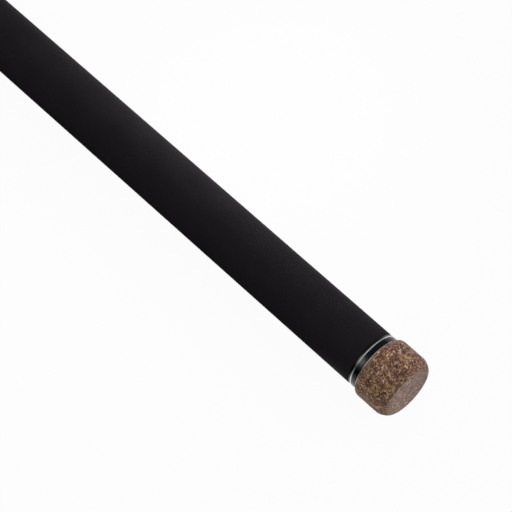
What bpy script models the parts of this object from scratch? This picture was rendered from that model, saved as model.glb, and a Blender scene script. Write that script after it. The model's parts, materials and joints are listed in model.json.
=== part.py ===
"""A three-piece match rod, 3.9 m long, put together and lying on its side.

The rod runs along +X from the flat end of its butt cap, and its guides and its reel's side face -Y.
Every piece is drawn with the rod's axis on X and the guides standing up along Z. The empty of the butt
section, which carries all the others, then lays the rod on its side.
"""

import math

import bmesh
import bpy

MM = 0.001

# Clearances
SEAM = 0.2 * MM  # between pieces stacked end to end on the blank
FIT = 0.3 * MM  # between a bore and what passes through it
FINE_FIT = 0.15 * MM  # round the small pieces of a guide, and inside a ferrule

# Butt cap of burl cork
CAP_LENGTH = 17.05 * MM
CAP_RADIUS = 15.0 * MM
CAP_SHOULDER_DEPTH = 1.4 * MM  # rounding towards the trim ring, measured across the rod
CAP_SHOULDER_LENGTH = 2.9 * MM  # and along it
CAP_RIM_DEPTH = 3.1 * MM  # the end's rounding, measured across the rod
CAP_RIM_LENGTH = 4.9 * MM  # and along it
CAP_RIM_POWER = 1.7  # 2 would be a quarter ellipse; less is flatter, with crisper edges
CAP_SOCKET_DEPTH = 11.0 * MM  # how far the blank goes into the cap

# Grips and their trim rings
GRIP_RADIUS = 13.45 * MM
GRIP_ROUNDING = 0.7 * MM
REAR_GRIP_LENGTH = 374.0 * MM
CHECK_LENGTH = 4.4 * MM
CHECK_BEVEL = 0.3 * MM
FORE_GRIP_LENGTH = 104.0 * MM
FORE_GRIP_RADIUS = 12.4 * MM
FORE_GRIP_NOSE_RADIUS = 9.2 * MM
FORE_GRIP_NOSE_LENGTH = 52.0 * MM
FORE_CHECK_LENGTH = 5.0 * MM
FORE_CHECK_WALL = 1.0 * MM

# Screw reel seat
SEAT_LENGTH = 110.0 * MM
SEAT_RADIUS = 10.0 * MM
SEAT_BORE_RADIUS = 7.6 * MM
SEAT_LAND = 8.6 * MM  # from the rod's axis to the flat that the reel's foot slides on
SADDLE_DEPTH = 0.3 * MM  # the flat's middle, between the hoods, lies this much lower
SADDLE_MARGIN = 1.5 * MM
ARBOR_LENGTH = 12.0 * MM
ARBOR_INSET = 5.0 * MM
HOOD_COLLAR = 5.0 * MM
HOOD_WALL = 1.4 * MM
HOOD_LIP_SHARE = 0.3  # how much of the wall its outer edges are rounded off
POCKET_DEPTH = 15.0 * MM
POCKET_HEIGHT = 6.0 * MM  # room above the flat for the reel's foot
POCKET_HALF_ANGLE = math.radians(27.0)
POCKET_BLEND_ANGLE = math.radians(30.0)
DOME_OVERRUN = 3.0 * MM  # how far the hood's dome runs on past its pocket
NUT_LENGTH = 12.0 * MM
NUT_WALL = 2.5 * MM
NUT_CHAMFER = 0.9 * MM
NUT_FLUTES = 14
NUT_FLUTE_DEPTH = 0.7 * MM
NUT_INSET = 2.0 * MM  # between the open nut and the seat's front end

# Blanks
BUTT_BLANK_LENGTH = 1332.0 * MM
BUTT_BLANK_BASE_RADIUS = 6.5 * MM
BUTT_BLANK_TOP_RADIUS = 4.5 * MM
BUTT_BLANK_WALL = 1.1 * MM
MIDDLE_BLANK_LENGTH = 1350.0 * MM
MIDDLE_SOCKET_DEPTH = 90.0 * MM
MIDDLE_SOCKET_WALL = 0.95 * MM
MIDDLE_TOP_RADIUS = 2.6 * MM
MIDDLE_TOP_WALL = 0.7 * MM
TIP_BLANK_LENGTH = 1366.0 * MM
TIP_SOCKET_DEPTH = 70.0 * MM
TIP_SOCKET_WALL = 0.6 * MM
TIP_TOP_RADIUS = 0.75 * MM

# Guides: the outside diameter of each ring, and where the first and last stand on each section
BUTT_RINGS = [16.0 * MM]
MIDDLE_RINGS = [12.0 * MM, 10.0 * MM, 8.0 * MM, 7.0 * MM]
TIP_RINGS = [6.0 * MM, 5.5 * MM, 5.0 * MM, 4.5 * MM, 4.5 * MM, 4.0 * MM, 4.0 * MM]
TIP_TOP_RING = 4.0 * MM
BUTT_GUIDE_FROM_TOP = 260.0 * MM
MIDDLE_GUIDES_FROM_BASE = 210.0 * MM
MIDDLE_GUIDES_FROM_TOP = 220.0 * MM
TIP_GUIDES_FROM_BASE = 135.0 * MM
TIP_GUIDES_FROM_TOP = 96.0 * MM
SPACING_RATIO = 0.87  # each gap between guides, set against the one before it
RISE_PER_RING = 1.75  # a ring's height above the blank grows with the ring
RISE_OFFSET = 1.5 * MM
GUIDE_LEAN = math.radians(8.0)
RING_SECTION = 0.25 * MM  # the ring's thickness across, before its share of the diameter
RING_SECTION_SHARE = 0.10
RING_WIDTH = 1.2 * MM
RING_WIDTH_SHARE = 0.05
RING_SEAT_SHARE = 0.6  # how much of the ring's width is flat where it sits in its hoop
RING_SHOULDER_SHARE = 0.4  # how deep its edges slope, as a share of its section
HOOP_WALL = 0.35 * MM
HOOP_WALL_SHARE = 0.035
PLATE_THICKNESS = 0.6 * MM
PLATE_THICKNESS_SHARE = 0.02
LEG_WIDTH = 0.7 * MM
LEG_WIDTH_SHARE = 0.055
ANKLE_HALF_WIDTH = 0.95 * MM  # half the frame's width where it meets its foot
ANKLE_HALF_WIDTH_SHARE = 0.075
WINDOW_SILL = 2.2 * MM  # solid metal between the foot and the frame's window
LEAST_WINDOW = 1.0 * MM
FOOT_LENGTH = 5.0 * MM
FOOT_LENGTH_SHARE = 0.45
FOOT_SIDE = 0.2 * MM  # how much narrower the foot is than the frame, each side
FOOT_TIP_THICKNESS = 0.3 * MM
FOOT_TIP_SHARE = 0.6  # the foot's width at its end, as a share of its width at the frame
THREAD = 0.35 * MM  # thickness of a thread whipping
THREAD_START = 0.5 * MM  # bare foot between the frame and the whipping
THREAD_RUN_ON = 2.5 * MM  # whipping past the end of the foot

# Tip top
TIP_TUBE_LENGTH = 9.0 * MM
TIP_TUBE_WALL = 0.45 * MM
TIP_TOP_RISE = 3.6 * MM
TIP_TOP_LEAN = math.radians(24.0)
TIP_TOP_WHIPPING_LENGTH = 6.0 * MM

# Whippings at the mouths of the ferrules
MIDDLE_SOCKET_WHIPPING = 32.0 * MM
TIP_SOCKET_WHIPPING = 22.0 * MM
SOCKET_WHIPPING_INSET = 0.8 * MM

# Folding hook keeper in front of the fore grip
KEEPER_FROM_CHECK = 30.0 * MM
KEEPER_FOOT_LENGTH = 9.0 * MM
KEEPER_FOOT_HALF_WIDTH = 1.3 * MM
KEEPER_FOOT_THICKNESS = 0.7 * MM
KEEPER_BARREL_LENGTH = 4.0 * MM
KEEPER_BARREL_WALL = 0.65 * MM
KEEPER_BITE = 0.3 * MM  # how deep the barrel is brazed into its foot
KEEPER_WIRE_RADIUS = 0.5 * MM
KEEPER_RING_HALF_WIDTH = 3.5 * MM
KEEPER_CORNER_RADIUS = 1.0 * MM
KEEPER_SHANK = 2.0 * MM  # straight run between the hinge bar and the loop's round end

# Facets
CAP_SIDES = 40
GRIP_SIDES = 32
BLANK_SIDES = 24
TIP_BLANK_SIDES = 16
HOOD_FLAT_SIDES = 6
HOOD_ROUND_SIDES = 30
RING_SIDES = 20
SMALL_RING_SIDES = 16
LARGE_RING = 7.5 * MM  # rings wider than this get the finer facets
ARC_STEPS = 5

# Colour, roughness and metallic of each finish
FINISHES = {
    "cork": ((0.150, 0.092, 0.065), 0.85, 0.0),
    "foam": ((0.0100, 0.0095, 0.0100), 0.80, 0.0),
    "check": ((0.012, 0.012, 0.014), 0.15, 0.0),
    "carbon": ((0.014, 0.014, 0.016), 0.22, 0.0),
    "seat": ((0.016, 0.016, 0.017), 0.35, 0.0),
    "hood": ((0.050, 0.050, 0.055), 0.28, 1.0),
    "frame": ((0.060, 0.060, 0.065), 0.30, 1.0),
    "ring": ((0.055, 0.058, 0.066), 0.12, 0.0),
    "thread": ((0.011, 0.011, 0.012), 0.18, 0.0),
    "arbor": ((0.450, 0.420, 0.360), 0.90, 0.0),
}


class Taper:
    """A blank's outside: its radius changes evenly from its start to its end."""

    def __init__(self, start, length, start_radius, end_radius):
        self.start = start
        self.end = start + length
        self.start_radius = start_radius
        self.end_radius = end_radius

    def radius(self, station):
        share = (station - self.start) / (self.end - self.start)
        return self.start_radius + share * (self.end_radius - self.start_radius)


# The three blanks: each socket is bored to the taper of the blank that goes into it
BUTT = Taper(
    CAP_LENGTH - CAP_SOCKET_DEPTH + FIT,
    BUTT_BLANK_LENGTH,
    BUTT_BLANK_BASE_RADIUS,
    BUTT_BLANK_TOP_RADIUS,
)
middle_start = BUTT.end - MIDDLE_SOCKET_DEPTH
MIDDLE = Taper(
    middle_start,
    MIDDLE_BLANK_LENGTH,
    BUTT.radius(middle_start) + FINE_FIT + MIDDLE_SOCKET_WALL,
    MIDDLE_TOP_RADIUS,
)
tip_start = MIDDLE.end - TIP_SOCKET_DEPTH
TIP = Taper(
    tip_start,
    TIP_BLANK_LENGTH,
    MIDDLE.radius(tip_start) + FINE_FIT + TIP_SOCKET_WALL,
    TIP_TOP_RADIUS,
)

# Stations of the handle's pieces, stacked from the butt end
BUTT_CHECK_START = CAP_LENGTH + SEAM
REAR_GRIP_START = BUTT_CHECK_START + CHECK_LENGTH + SEAM
SEAT_CHECK_START = REAR_GRIP_START + REAR_GRIP_LENGTH + SEAM
SEAT_START = SEAT_CHECK_START + CHECK_LENGTH + SEAM
SEAT_END = SEAT_START + SEAT_LENGTH
FORE_GRIP_START = SEAT_END + SEAM
FORE_CHECK_START = FORE_GRIP_START + FORE_GRIP_LENGTH + SEAM
HOOD_LENGTH = HOOD_COLLAR + POCKET_DEPTH
NUT_START = SEAT_END - NUT_INSET - NUT_LENGTH
MOVING_HOOD_START = NUT_START - SEAM - HOOD_LENGTH
KEEPER_STATION = FORE_CHECK_START + FORE_CHECK_LENGTH + KEEPER_FROM_CHECK


def new_collection(name):
    collection = bpy.data.collections.new(name)
    bpy.context.scene.collection.children.link(collection)
    return collection


def add_body(name, station, parent=None):
    """An empty on the rod's axis, which carries the pieces of one moving body."""
    body = bpy.data.objects.new(name, None)
    ROD.objects.link(body)
    body["station"] = station
    body.parent = parent
    body.location.x = station - (parent["station"] if parent else 0.0)
    return body


def place(piece, body, station, height=0.0):
    """Hangs a piece on its body, at a distance from the butt end and a height above the rod's axis."""
    piece.parent = body
    piece.location = (station - body["station"], 0.0, height)


def add_piece(name, mesh, finish, body, station, height=0.0):
    piece = bpy.data.objects.new(name, mesh)
    ROD.objects.link(piece)
    place(piece, body, station, height)
    colour, roughness, metallic = FINISHES[finish]
    material = bpy.data.materials.new(name + "_finish")
    material.use_nodes = True
    shader = material.node_tree.nodes["Principled BSDF"]
    shader.inputs["Base Color"].default_value = (*colour, 1.0)
    shader.inputs["Roughness"].default_value = roughness
    shader.inputs["Metallic"].default_value = metallic
    mesh.materials.append(material)
    return piece


def add_helper(name, mesh, body, station, height=0.0):
    """A solid that only cuts or joins another one."""
    helper = bpy.data.objects.new(name, mesh)
    HELPERS.objects.link(helper)
    place(helper, body, station, height)
    helper.hide_render = True
    helper.display_type = "WIRE"
    return helper


def combine(piece, other, operation):
    boolean = piece.modifiers.new(other.name, "BOOLEAN")
    boolean.operation = operation
    boolean.solver = "EXACT"
    boolean.object = other


def profile_mesh(name, profile):
    """The outline that a Screw turns. Its (distance, radius) points run down the outer side, from the
    tip's end to the butt's, and back up the bore. An outline that starts on the axis also ends there."""
    points = [(distance, radius, 0.0) for distance, radius in profile]
    edges = [(number, number + 1) for number in range(len(points) - 1)]
    if profile[0][1] > 0.0:
        edges.append((len(points) - 1, 0))
    mesh = bpy.data.meshes.new(name)
    mesh.from_pydata(points, edges, [])
    return mesh


def turn(piece, sides):
    screw = piece.modifiers.new("turned", "SCREW")
    screw.axis = "X"
    screw.steps = sides
    screw.render_steps = sides
    screw.use_merge_vertices = True
    screw.merge_threshold = 0.01 * MM
    screw.use_smooth_shade = True
    return piece


def turned(name, profile, sides, finish, body, station):
    return turn(add_piece(name, profile_mesh(name, profile), finish, body, station), sides)


def box_mesh(name, low, high):
    """A box between two corners."""
    shape = bmesh.new()
    bmesh.ops.create_cube(shape, size=1.0)
    for vertex in shape.verts:
        for axis in range(3):
            vertex.co[axis] = high[axis] if vertex.co[axis] > 0.0 else low[axis]
    mesh = bpy.data.meshes.new(name)
    shape.to_mesh(mesh)
    shape.free()
    return mesh


def tongue_mesh(name, start, end, half_width, thickness):
    """A guide's foot: a flat tongue on the blank, thinned and narrowed towards its end."""
    mesh = box_mesh(name, (start, -half_width, 0.0), (end, half_width, thickness))
    for vertex in mesh.vertices:
        if vertex.co.x > (start + end) / 2:
            vertex.co.y *= FOOT_TIP_SHARE
            vertex.co.z = min(vertex.co.z, FOOT_TIP_THICKNESS)
    return mesh


def arc(centre, radii, start, end, steps, power=2.0):
    """Points on a quarter or part of an ellipse, both ends included. A power below 2 flattens it."""

    def reach(share):
        return math.copysign(abs(share) ** (2.0 / power), share)

    angles = [start + (end - start) * step / steps for step in range(steps + 1)]
    return [
        (
            centre[0] + radii[0] * reach(math.cos(angle)),
            centre[1] + radii[1] * reach(math.sin(angle)),
        )
        for angle in angles
    ]


def spread(start, end, count):
    """Evenly spread angles from the start up to the end, the end left out."""
    return [start + (end - start) * step / count for step in range(count)]


def lofted_mesh(name, angles, sections):
    """A tubular loft that closes on itself: each section is a ring at a distance along the rod, with a
    radius for each angle from the reel's side, and the last section joins the first."""
    shape = bmesh.new()
    rings = []
    for distance, radii in sections:
        ring = [
            shape.verts.new((distance, radius * math.sin(angle), radius * math.cos(angle)))
            for angle, radius in zip(angles, radii)
        ]
        rings.append(ring)
    for ring, after in zip(rings, rings[1:] + rings[:1]):
        for this, that in zip(range(len(ring)), list(range(1, len(ring))) + [0]):
            shape.faces.new((ring[this], ring[that], after[that], after[this]))
    bmesh.ops.recalc_face_normals(shape, faces=shape.faces)
    mesh = bpy.data.meshes.new(name)
    shape.to_mesh(mesh)
    shape.free()
    mesh.shade_smooth()
    mesh.set_sharp_from_angle(angle=math.radians(35.0))
    return mesh


def mesh_of_curve(curve_object):
    """The curve's solid as a mesh, with its caps welded to its sides. The curve itself is removed."""
    bpy.context.view_layer.update()
    graph = bpy.context.evaluated_depsgraph_get()
    mesh = bpy.data.meshes.new_from_object(curve_object.evaluated_get(graph))
    mesh.materials.clear()
    shape = bmesh.new()
    shape.from_mesh(mesh)
    bmesh.ops.remove_doubles(shape, verts=shape.verts, dist=0.001 * MM)
    bmesh.ops.recalc_face_normals(shape, faces=shape.faces)
    shape.to_mesh(mesh)
    shape.free()
    curve = curve_object.data
    bpy.data.objects.remove(curve_object)
    bpy.data.curves.remove(curve)
    return mesh


def plate_mesh(name, outlines, thickness):
    """A flat plate, from its edge and the edges of its holes, as a mesh in the XY plane."""
    curve = bpy.data.curves.new(name, "CURVE")
    curve.dimensions = "2D"
    curve.fill_mode = "BOTH"
    curve.extrude = thickness / 2
    for outline in outlines:
        spline = curve.splines.new("POLY")
        spline.points.add(len(outline) - 1)
        for point, (across, up) in zip(spline.points, outline):
            point.co = (across, up, 0.0, 1.0)
        spline.use_cyclic_u = True
    holder = bpy.data.objects.new(name, curve)
    HELPERS.objects.link(holder)
    return mesh_of_curve(holder)


def butt_cap(body):
    """Cork cap with a rounded shoulder and rim, and a socket for the end of the blank."""
    shoulder = arc(
        (CAP_LENGTH - CAP_SHOULDER_LENGTH, CAP_RADIUS - CAP_SHOULDER_DEPTH),
        (CAP_SHOULDER_LENGTH, CAP_SHOULDER_DEPTH),
        0.0,
        math.pi / 2,
        ARC_STEPS,
    )
    rim = arc(
        (CAP_RIM_LENGTH, CAP_RADIUS - CAP_RIM_DEPTH),
        (CAP_RIM_LENGTH, CAP_RIM_DEPTH),
        math.pi / 2,
        math.pi,
        ARC_STEPS,
        CAP_RIM_POWER,
    )
    floor = CAP_LENGTH - CAP_SOCKET_DEPTH
    socket_radius = BUTT.start_radius + FIT
    profile = [(floor, 0.0), (floor, socket_radius), (CAP_LENGTH, socket_radius)]
    profile += shoulder + rim + [(0.0, 0.0)]
    turned("butt_cap", profile, CAP_SIDES, "cork", body, 0.0)


def sleeve_profile(start, length, front_radius, rear_radius, edge, rounded=True, between=()):
    """A sleeve bored to the butt blank's taper, with both outer edges rounded or bevelled. Its side
    runs straight from edge to edge, or through the points between them."""
    steps = 2 if rounded else 1
    front = arc((length - edge, front_radius - edge), (edge, edge), 0.0, math.pi / 2, steps)
    rear = arc((edge, rear_radius - edge), (edge, edge), math.pi / 2, math.pi, steps)
    bore = [
        (0.0, BUTT.radius(start) + FIT),
        (length, BUTT.radius(start + length) + FIT),
    ]
    return front + list(between) + rear + bore


def trim_ring(name, start, body):
    """A winding check as thick as the grip, with both edges bevelled."""
    profile = sleeve_profile(
        start, CHECK_LENGTH, GRIP_RADIUS, GRIP_RADIUS, CHECK_BEVEL, rounded=False
    )
    turned(name, profile, GRIP_SIDES, "check", body, start)


def rear_grip(body):
    profile = sleeve_profile(
        REAR_GRIP_START, REAR_GRIP_LENGTH, GRIP_RADIUS, GRIP_RADIUS, GRIP_ROUNDING
    )
    turned("rear_grip", profile, GRIP_SIDES, "foam", body, REAR_GRIP_START)


def fore_grip(body):
    """The grip in front of the reel, cylindrical at the seat and tapered towards its nose."""
    nose_start = (FORE_GRIP_LENGTH - FORE_GRIP_NOSE_LENGTH, FORE_GRIP_RADIUS)
    profile = sleeve_profile(
        FORE_GRIP_START,
        FORE_GRIP_LENGTH,
        FORE_GRIP_NOSE_RADIUS,
        FORE_GRIP_RADIUS,
        GRIP_ROUNDING,
        between=[nose_start],
    )
    turned("fore_grip", profile, GRIP_SIDES, "foam", body, FORE_GRIP_START)


def fore_check(body):
    """A tapered winding check that closes the fore grip onto the blank."""
    front = BUTT.radius(FORE_CHECK_START + FORE_CHECK_LENGTH) + FIT + FORE_CHECK_WALL
    rear = FORE_GRIP_NOSE_RADIUS - GRIP_ROUNDING
    profile = sleeve_profile(
        FORE_CHECK_START, FORE_CHECK_LENGTH, front, rear, CHECK_BEVEL, rounded=False
    )
    turned("fore_check", profile, GRIP_SIDES, "check", body, FORE_CHECK_START)


def seat_arbors(body):
    """Rings that centre the reel seat on the blank."""
    starts = {
        "rear_arbor": SEAT_START + ARBOR_INSET,
        "front_arbor": SEAT_END - ARBOR_INSET - ARBOR_LENGTH,
    }
    outside = SEAT_BORE_RADIUS - FIT
    for name, start in starts.items():
        profile = [
            (ARBOR_LENGTH, outside),
            (0.0, outside),
            (0.0, BUTT.radius(start) + FIT),
            (ARBOR_LENGTH, BUTT.radius(start + ARBOR_LENGTH) + FIT),
        ]
        turned(name, profile, BLANK_SIDES, "arbor", body, start)


def reel_seat(body):
    """The seat's barrel: a tube with a flat for the reel's foot, a little lower between the hoods."""
    profile = [
        (SEAT_LENGTH, SEAT_RADIUS),
        (0.0, SEAT_RADIUS),
        (0.0, SEAT_BORE_RADIUS),
        (SEAT_LENGTH, SEAT_BORE_RADIUS),
    ]
    seat = turned("reel_seat", profile, CAP_SIDES, "seat", body, SEAT_START)
    above = 2 * SEAT_RADIUS
    land = box_mesh(
        "land_cutter", (-SEAT_RADIUS, -above, SEAT_LAND), (SEAT_LENGTH + SEAT_RADIUS, above, above)
    )
    combine(seat, add_helper("land_cutter", land, body, SEAT_START), "DIFFERENCE")
    saddle_start = HOOD_LENGTH + SADDLE_MARGIN
    saddle_end = MOVING_HOOD_START - SEAT_START - SADDLE_MARGIN
    saddle = box_mesh(
        "saddle_cutter",
        (saddle_start, -above, SEAT_LAND - SADDLE_DEPTH),
        (saddle_end, above, above),
    )
    combine(seat, add_helper("saddle_cutter", saddle, body, SEAT_START), "DIFFERENCE")


def barrel_radius(angle):
    """The barrel's section: round, with a flat on the reel's side."""
    if math.cos(angle) * SEAT_RADIUS <= SEAT_LAND:
        return SEAT_RADIUS
    return SEAT_LAND / math.cos(angle)


def bulge(angle):
    """1 over the reel's foot, easing to 0 round the barrel."""
    turned_away = abs(math.remainder(angle, 2 * math.pi))
    share = (turned_away - POCKET_HALF_ANGLE) / POCKET_BLEND_ANGLE
    return 0.5 + 0.5 * math.cos(math.pi * min(max(share, 0.0), 1.0))


def dome(distance, reach):
    """Height of a quarter ellipse, from 1 at the mouth to 0 at its reach."""
    return math.sqrt(max(0.0, 1.0 - (distance / reach) ** 2))


def hood_mesh(name):
    """A hood with its mouth at distance 0: a collar keyed to the barrel's flat, and a domed pocket."""
    edge = math.acos(SEAT_LAND / SEAT_RADIUS)
    angles = spread(-edge, edge, HOOD_FLAT_SIDES)
    angles += spread(edge, 2 * math.pi - edge, HOOD_ROUND_SIDES)
    ceiling = SEAT_LAND + POCKET_HEIGHT
    collar = SEAT_RADIUS + FIT + HOOD_WALL

    def inside(distance):
        lift = dome(distance, POCKET_DEPTH)
        radii = []
        for angle in angles:
            bore = barrel_radius(angle) + FIT
            radii.append(bore + (ceiling - bore) * lift * bulge(angle))
        return distance, radii

    def outside(distance, trim=0.0):
        lift = dome(distance, POCKET_DEPTH + DOME_OVERRUN)
        rise = (ceiling + HOOD_WALL - collar) * lift
        return distance, [collar - trim + rise * bulge(angle) for angle in angles]

    lip = HOOD_LIP_SHARE * HOOD_WALL
    pocket = [0.0, 0.45, 0.75, 0.93, 1.0]
    shell = [0.0, 0.35, 0.65, 0.87, 1.0]
    sections = [inside(share * POCKET_DEPTH) for share in pocket]
    sections.append(inside(HOOD_LENGTH))
    sections.append(outside(HOOD_LENGTH, lip))
    sections.append(outside(HOOD_LENGTH - lip))
    for share in reversed(shell[1:]):
        sections.append(outside(share * (POCKET_DEPTH + DOME_OVERRUN)))
    sections.append(outside(lip))
    sections.append(outside(0.0, lip))
    return lofted_mesh(name, angles, sections)


def hoods(butt_body, hood_body):
    """The fixed hood, whose mouth faces the tip, and the moving hood, whose mouth faces the butt."""
    add_piece("moving_hood", hood_mesh("moving_hood"), "hood", hood_body, MOVING_HOOD_START)
    mesh = hood_mesh("fixed_hood")
    for vertex in mesh.vertices:
        vertex.co.x = HOOD_LENGTH - vertex.co.x
    mesh.flip_normals()
    add_piece("fixed_hood", mesh, "hood", butt_body, SEAT_START)


def lock_nut(body):
    """A fluted ring nut that drives the moving hood along the barrel."""
    bore = SEAT_RADIUS + FIT
    angles = spread(0.0, 2 * math.pi, 4 * NUT_FLUTES)

    def outside(trim):
        return [
            bore + NUT_WALL - trim - NUT_FLUTE_DEPTH * (0.5 - 0.5 * math.cos(NUT_FLUTES * angle))
            for angle in angles
        ]

    round_bore = [bore for _ in angles]
    sections = [
        (0.0, round_bore),
        (NUT_LENGTH, round_bore),
        (NUT_LENGTH, outside(NUT_CHAMFER)),
        (NUT_LENGTH - NUT_CHAMFER, outside(0.0)),
        (NUT_CHAMFER, outside(0.0)),
        (0.0, outside(NUT_CHAMFER)),
    ]
    add_piece("lock_nut", lofted_mesh("lock_nut", angles, sections), "hood", body, NUT_START)


def butt_blank(body):
    profile = [
        (BUTT_BLANK_LENGTH, BUTT.end_radius),
        (0.0, BUTT.start_radius),
        (0.0, BUTT.start_radius - BUTT_BLANK_WALL),
        (BUTT_BLANK_LENGTH, BUTT.end_radius - BUTT_BLANK_WALL),
    ]
    turned("butt_blank", profile, BLANK_SIDES, "carbon", body, BUTT.start)


def middle_blank(body):
    """Its base is a socket for the butt blank, and its bore runs on to the top."""
    socket_end = MIDDLE_SOCKET_DEPTH + FIT
    profile = [
        (MIDDLE_BLANK_LENGTH, MIDDLE.end_radius),
        (0.0, MIDDLE.start_radius),
        (0.0, BUTT.radius(MIDDLE.start) + FINE_FIT),
        (socket_end, BUTT.end_radius + FINE_FIT),
        (MIDDLE_BLANK_LENGTH, MIDDLE.end_radius - MIDDLE_TOP_WALL),
    ]
    turned("middle_blank", profile, BLANK_SIDES, "carbon", body, MIDDLE.start)


def tip_blank(body):
    """Its base is a socket for the middle blank. Past the socket it is solid."""
    socket_end = TIP_SOCKET_DEPTH + FIT
    profile = [
        (socket_end, 0.0),
        (socket_end, MIDDLE.end_radius + FINE_FIT),
        (0.0, MIDDLE.radius(TIP.start) + FINE_FIT),
        (0.0, TIP.start_radius),
        (TIP_BLANK_LENGTH, TIP.end_radius),
        (TIP_BLANK_LENGTH, 0.0),
    ]
    turned("tip_blank", profile[::-1], TIP_BLANK_SIDES, "carbon", body, TIP.start)


def plain_whipping(name, taper, start, length, body):
    """A band of thread round a bare blank."""
    near = taper.radius(start) + FINE_FIT
    far = taper.radius(start + length) + FINE_FIT
    slope = min(THREAD, length / 4)
    profile = [
        (length, far + THREAD / 2),
        (length - slope, far + THREAD),
        (slope, near + THREAD),
        (0.0, near + THREAD / 2),
        (0.0, near),
        (length, far),
    ]
    turned(name, profile, BLANK_SIDES, "thread", body, start)


def wrap_radius(angle, core, half_width, top):
    """Radius of a band pulled tight round a round core and a flat foot that lies on it: level over the
    foot, straight from the foot's corner to where it touches the core, and round on the core."""
    turned_away = abs(math.remainder(angle, 2 * math.pi))
    corner_angle = math.atan2(half_width, top)
    corner_radius = math.hypot(half_width, top)
    touch_angle = corner_angle + math.acos(min(1.0, core / corner_radius))
    if turned_away <= corner_angle:
        return max(core, top / math.cos(turned_away))
    if turned_away < touch_angle:
        return max(core, core / math.cos(touch_angle - turned_away))
    return core


def foot_whipping(name, taper, station, foot, body):
    """Thread over a foot and past its end. The foot is (start, end, half width, thickness)."""
    start, end, half_width, thickness = foot
    lift = taper.radius(station) + FINE_FIT
    thread_start = start + THREAD_START
    thread_end = end + THREAD_RUN_ON
    half_width = half_width + FINE_FIT
    top = lift + thickness + FINE_FIT
    corner_angle = math.atan2(half_width, top)
    touch_angle = corner_angle + math.acos(lift / math.hypot(half_width, top))
    angles = spread(-corner_angle, corner_angle, 2) + [corner_angle]
    angles += spread(touch_angle, 2 * math.pi - touch_angle, 12) + [2 * math.pi - touch_angle]

    def band(distance, rise, thread):
        core = taper.radius(station + distance) + FINE_FIT
        over_foot = max(core, lift + rise)
        return distance, [
            wrap_radius(angle, core + thread, half_width + thread, over_foot + thread)
            for angle in angles
        ]

    full = thickness + FINE_FIT
    thin = FOOT_TIP_THICKNESS + FINE_FIT
    sections = [
        band(thread_start, full, 0.0),
        band(end + FINE_FIT, thin, 0.0),
        band(thread_end, 0.0, 0.0),
        band(thread_end, 0.0, THREAD / 2),
        band(end + FINE_FIT, thin, THREAD),
        band(thread_start, full, THREAD),
    ]
    add_piece(name, lofted_mesh(name, angles, sections), "thread", body, station)


def ring_sides(diameter):
    return RING_SIDES if diameter > LARGE_RING else SMALL_RING_SIDES


def ceramic_ring(name, diameter, body, station, height, lean):
    """A guide's insert: flat where it sits in its hoop, and round where the line runs."""
    outside = diameter / 2
    inside = outside - RING_SECTION - RING_SECTION_SHARE * diameter
    half_width = (RING_WIDTH + RING_WIDTH_SHARE * diameter) / 2
    shoulder = outside - RING_SHOULDER_SHARE * (outside - inside)
    profile = [
        (RING_SEAT_SHARE * half_width, outside),
        (-RING_SEAT_SHARE * half_width, outside),
        (-half_width, shoulder),
        (0.0, inside),
        (half_width, shoulder),
    ]
    mesh = profile_mesh(name, profile)
    ring = turn(add_piece(name, mesh, "ring", body, station, height), ring_sides(diameter))
    ring.rotation_euler.y = lean


def circle(centre_height, radius, sides):
    return [
        (radius * math.cos(angle), centre_height + radius * math.sin(angle))
        for angle in spread(0.0, 2 * math.pi, sides)
    ]


def frame_outlines(diameter, height, ankle):
    """The edges of a guide's frame in its own plane, as (across, up) points: two legs that leave the
    ankle and meet the hoop on its tangents, the hoop's hole, and the window between the legs."""
    sides = ring_sides(diameter)
    hole = diameter / 2 + FINE_FIT
    hoop = hole + HOOP_WALL + HOOP_WALL_SHARE * diameter
    to_ankle = math.atan2(-height, ankle)
    tangent = to_ankle + math.acos(hoop / math.hypot(ankle, height))
    over_top = arc((0.0, height), (hoop, hoop), tangent, math.pi - tangent, sides * 2 // 3)
    outlines = [over_top + [(-ankle, 0.0), (ankle, 0.0)], circle(height, hole, sides)]
    leg = LEG_WIDTH + LEG_WIDTH_SHARE * diameter
    sill = (hoop - leg - (WINDOW_SILL - height) * math.sin(tangent)) / math.cos(tangent)
    if height - hoop - WINDOW_SILL > LEAST_WINDOW and sill > FINE_FIT:
        inner = tangent - math.acos((hoop - leg) / hoop)
        under_hoop = arc((0.0, height), (hoop, hoop), inner, -math.pi - inner, 6)
        outlines.append(under_hoop + [(-sill, WINDOW_SILL), (sill, WINDOW_SILL)])
    return outlines


def stand_up(plate, lean):
    """Turns a plate from the XY plane to stand across the rod, leaning towards the tip."""
    plate.rotation_mode = "XZY"
    plate.rotation_euler = (math.pi / 2, lean, math.pi / 2)


def guide(name, taper, station, diameter, body):
    """A single-foot guide: frame, ceramic ring, and the whipping that holds its foot."""
    thickness = PLATE_THICKNESS + PLATE_THICKNESS_SHARE * diameter
    height = RISE_PER_RING * diameter - RISE_OFFSET
    ankle = ANKLE_HALF_WIDTH + ANKLE_HALF_WIDTH_SHARE * diameter
    foot_length = FOOT_LENGTH + FOOT_LENGTH_SHARE * diameter
    foot_half_width = ankle - FOOT_SIDE
    lift = taper.radius(station) + FINE_FIT
    plate = plate_mesh(name + "_frame", frame_outlines(diameter, height, ankle), thickness)
    frame = add_piece(name + "_frame", plate, "frame", body, station, lift)
    stand_up(frame, GUIDE_LEAN)
    tongue = tongue_mesh(name + "_foot", -thickness / 4, foot_length, foot_half_width, thickness)
    combine(frame, add_helper(name + "_foot", tongue, body, station, lift), "UNION")
    ring_station = station + height * math.sin(GUIDE_LEAN)
    ring_height = lift + height * math.cos(GUIDE_LEAN)
    ceramic_ring(name + "_ring", diameter, body, ring_station, ring_height, GUIDE_LEAN)
    foot = (thickness / 2, foot_length, foot_half_width, thickness)
    foot_whipping(name + "_whipping", taper, station, foot, body)


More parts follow.
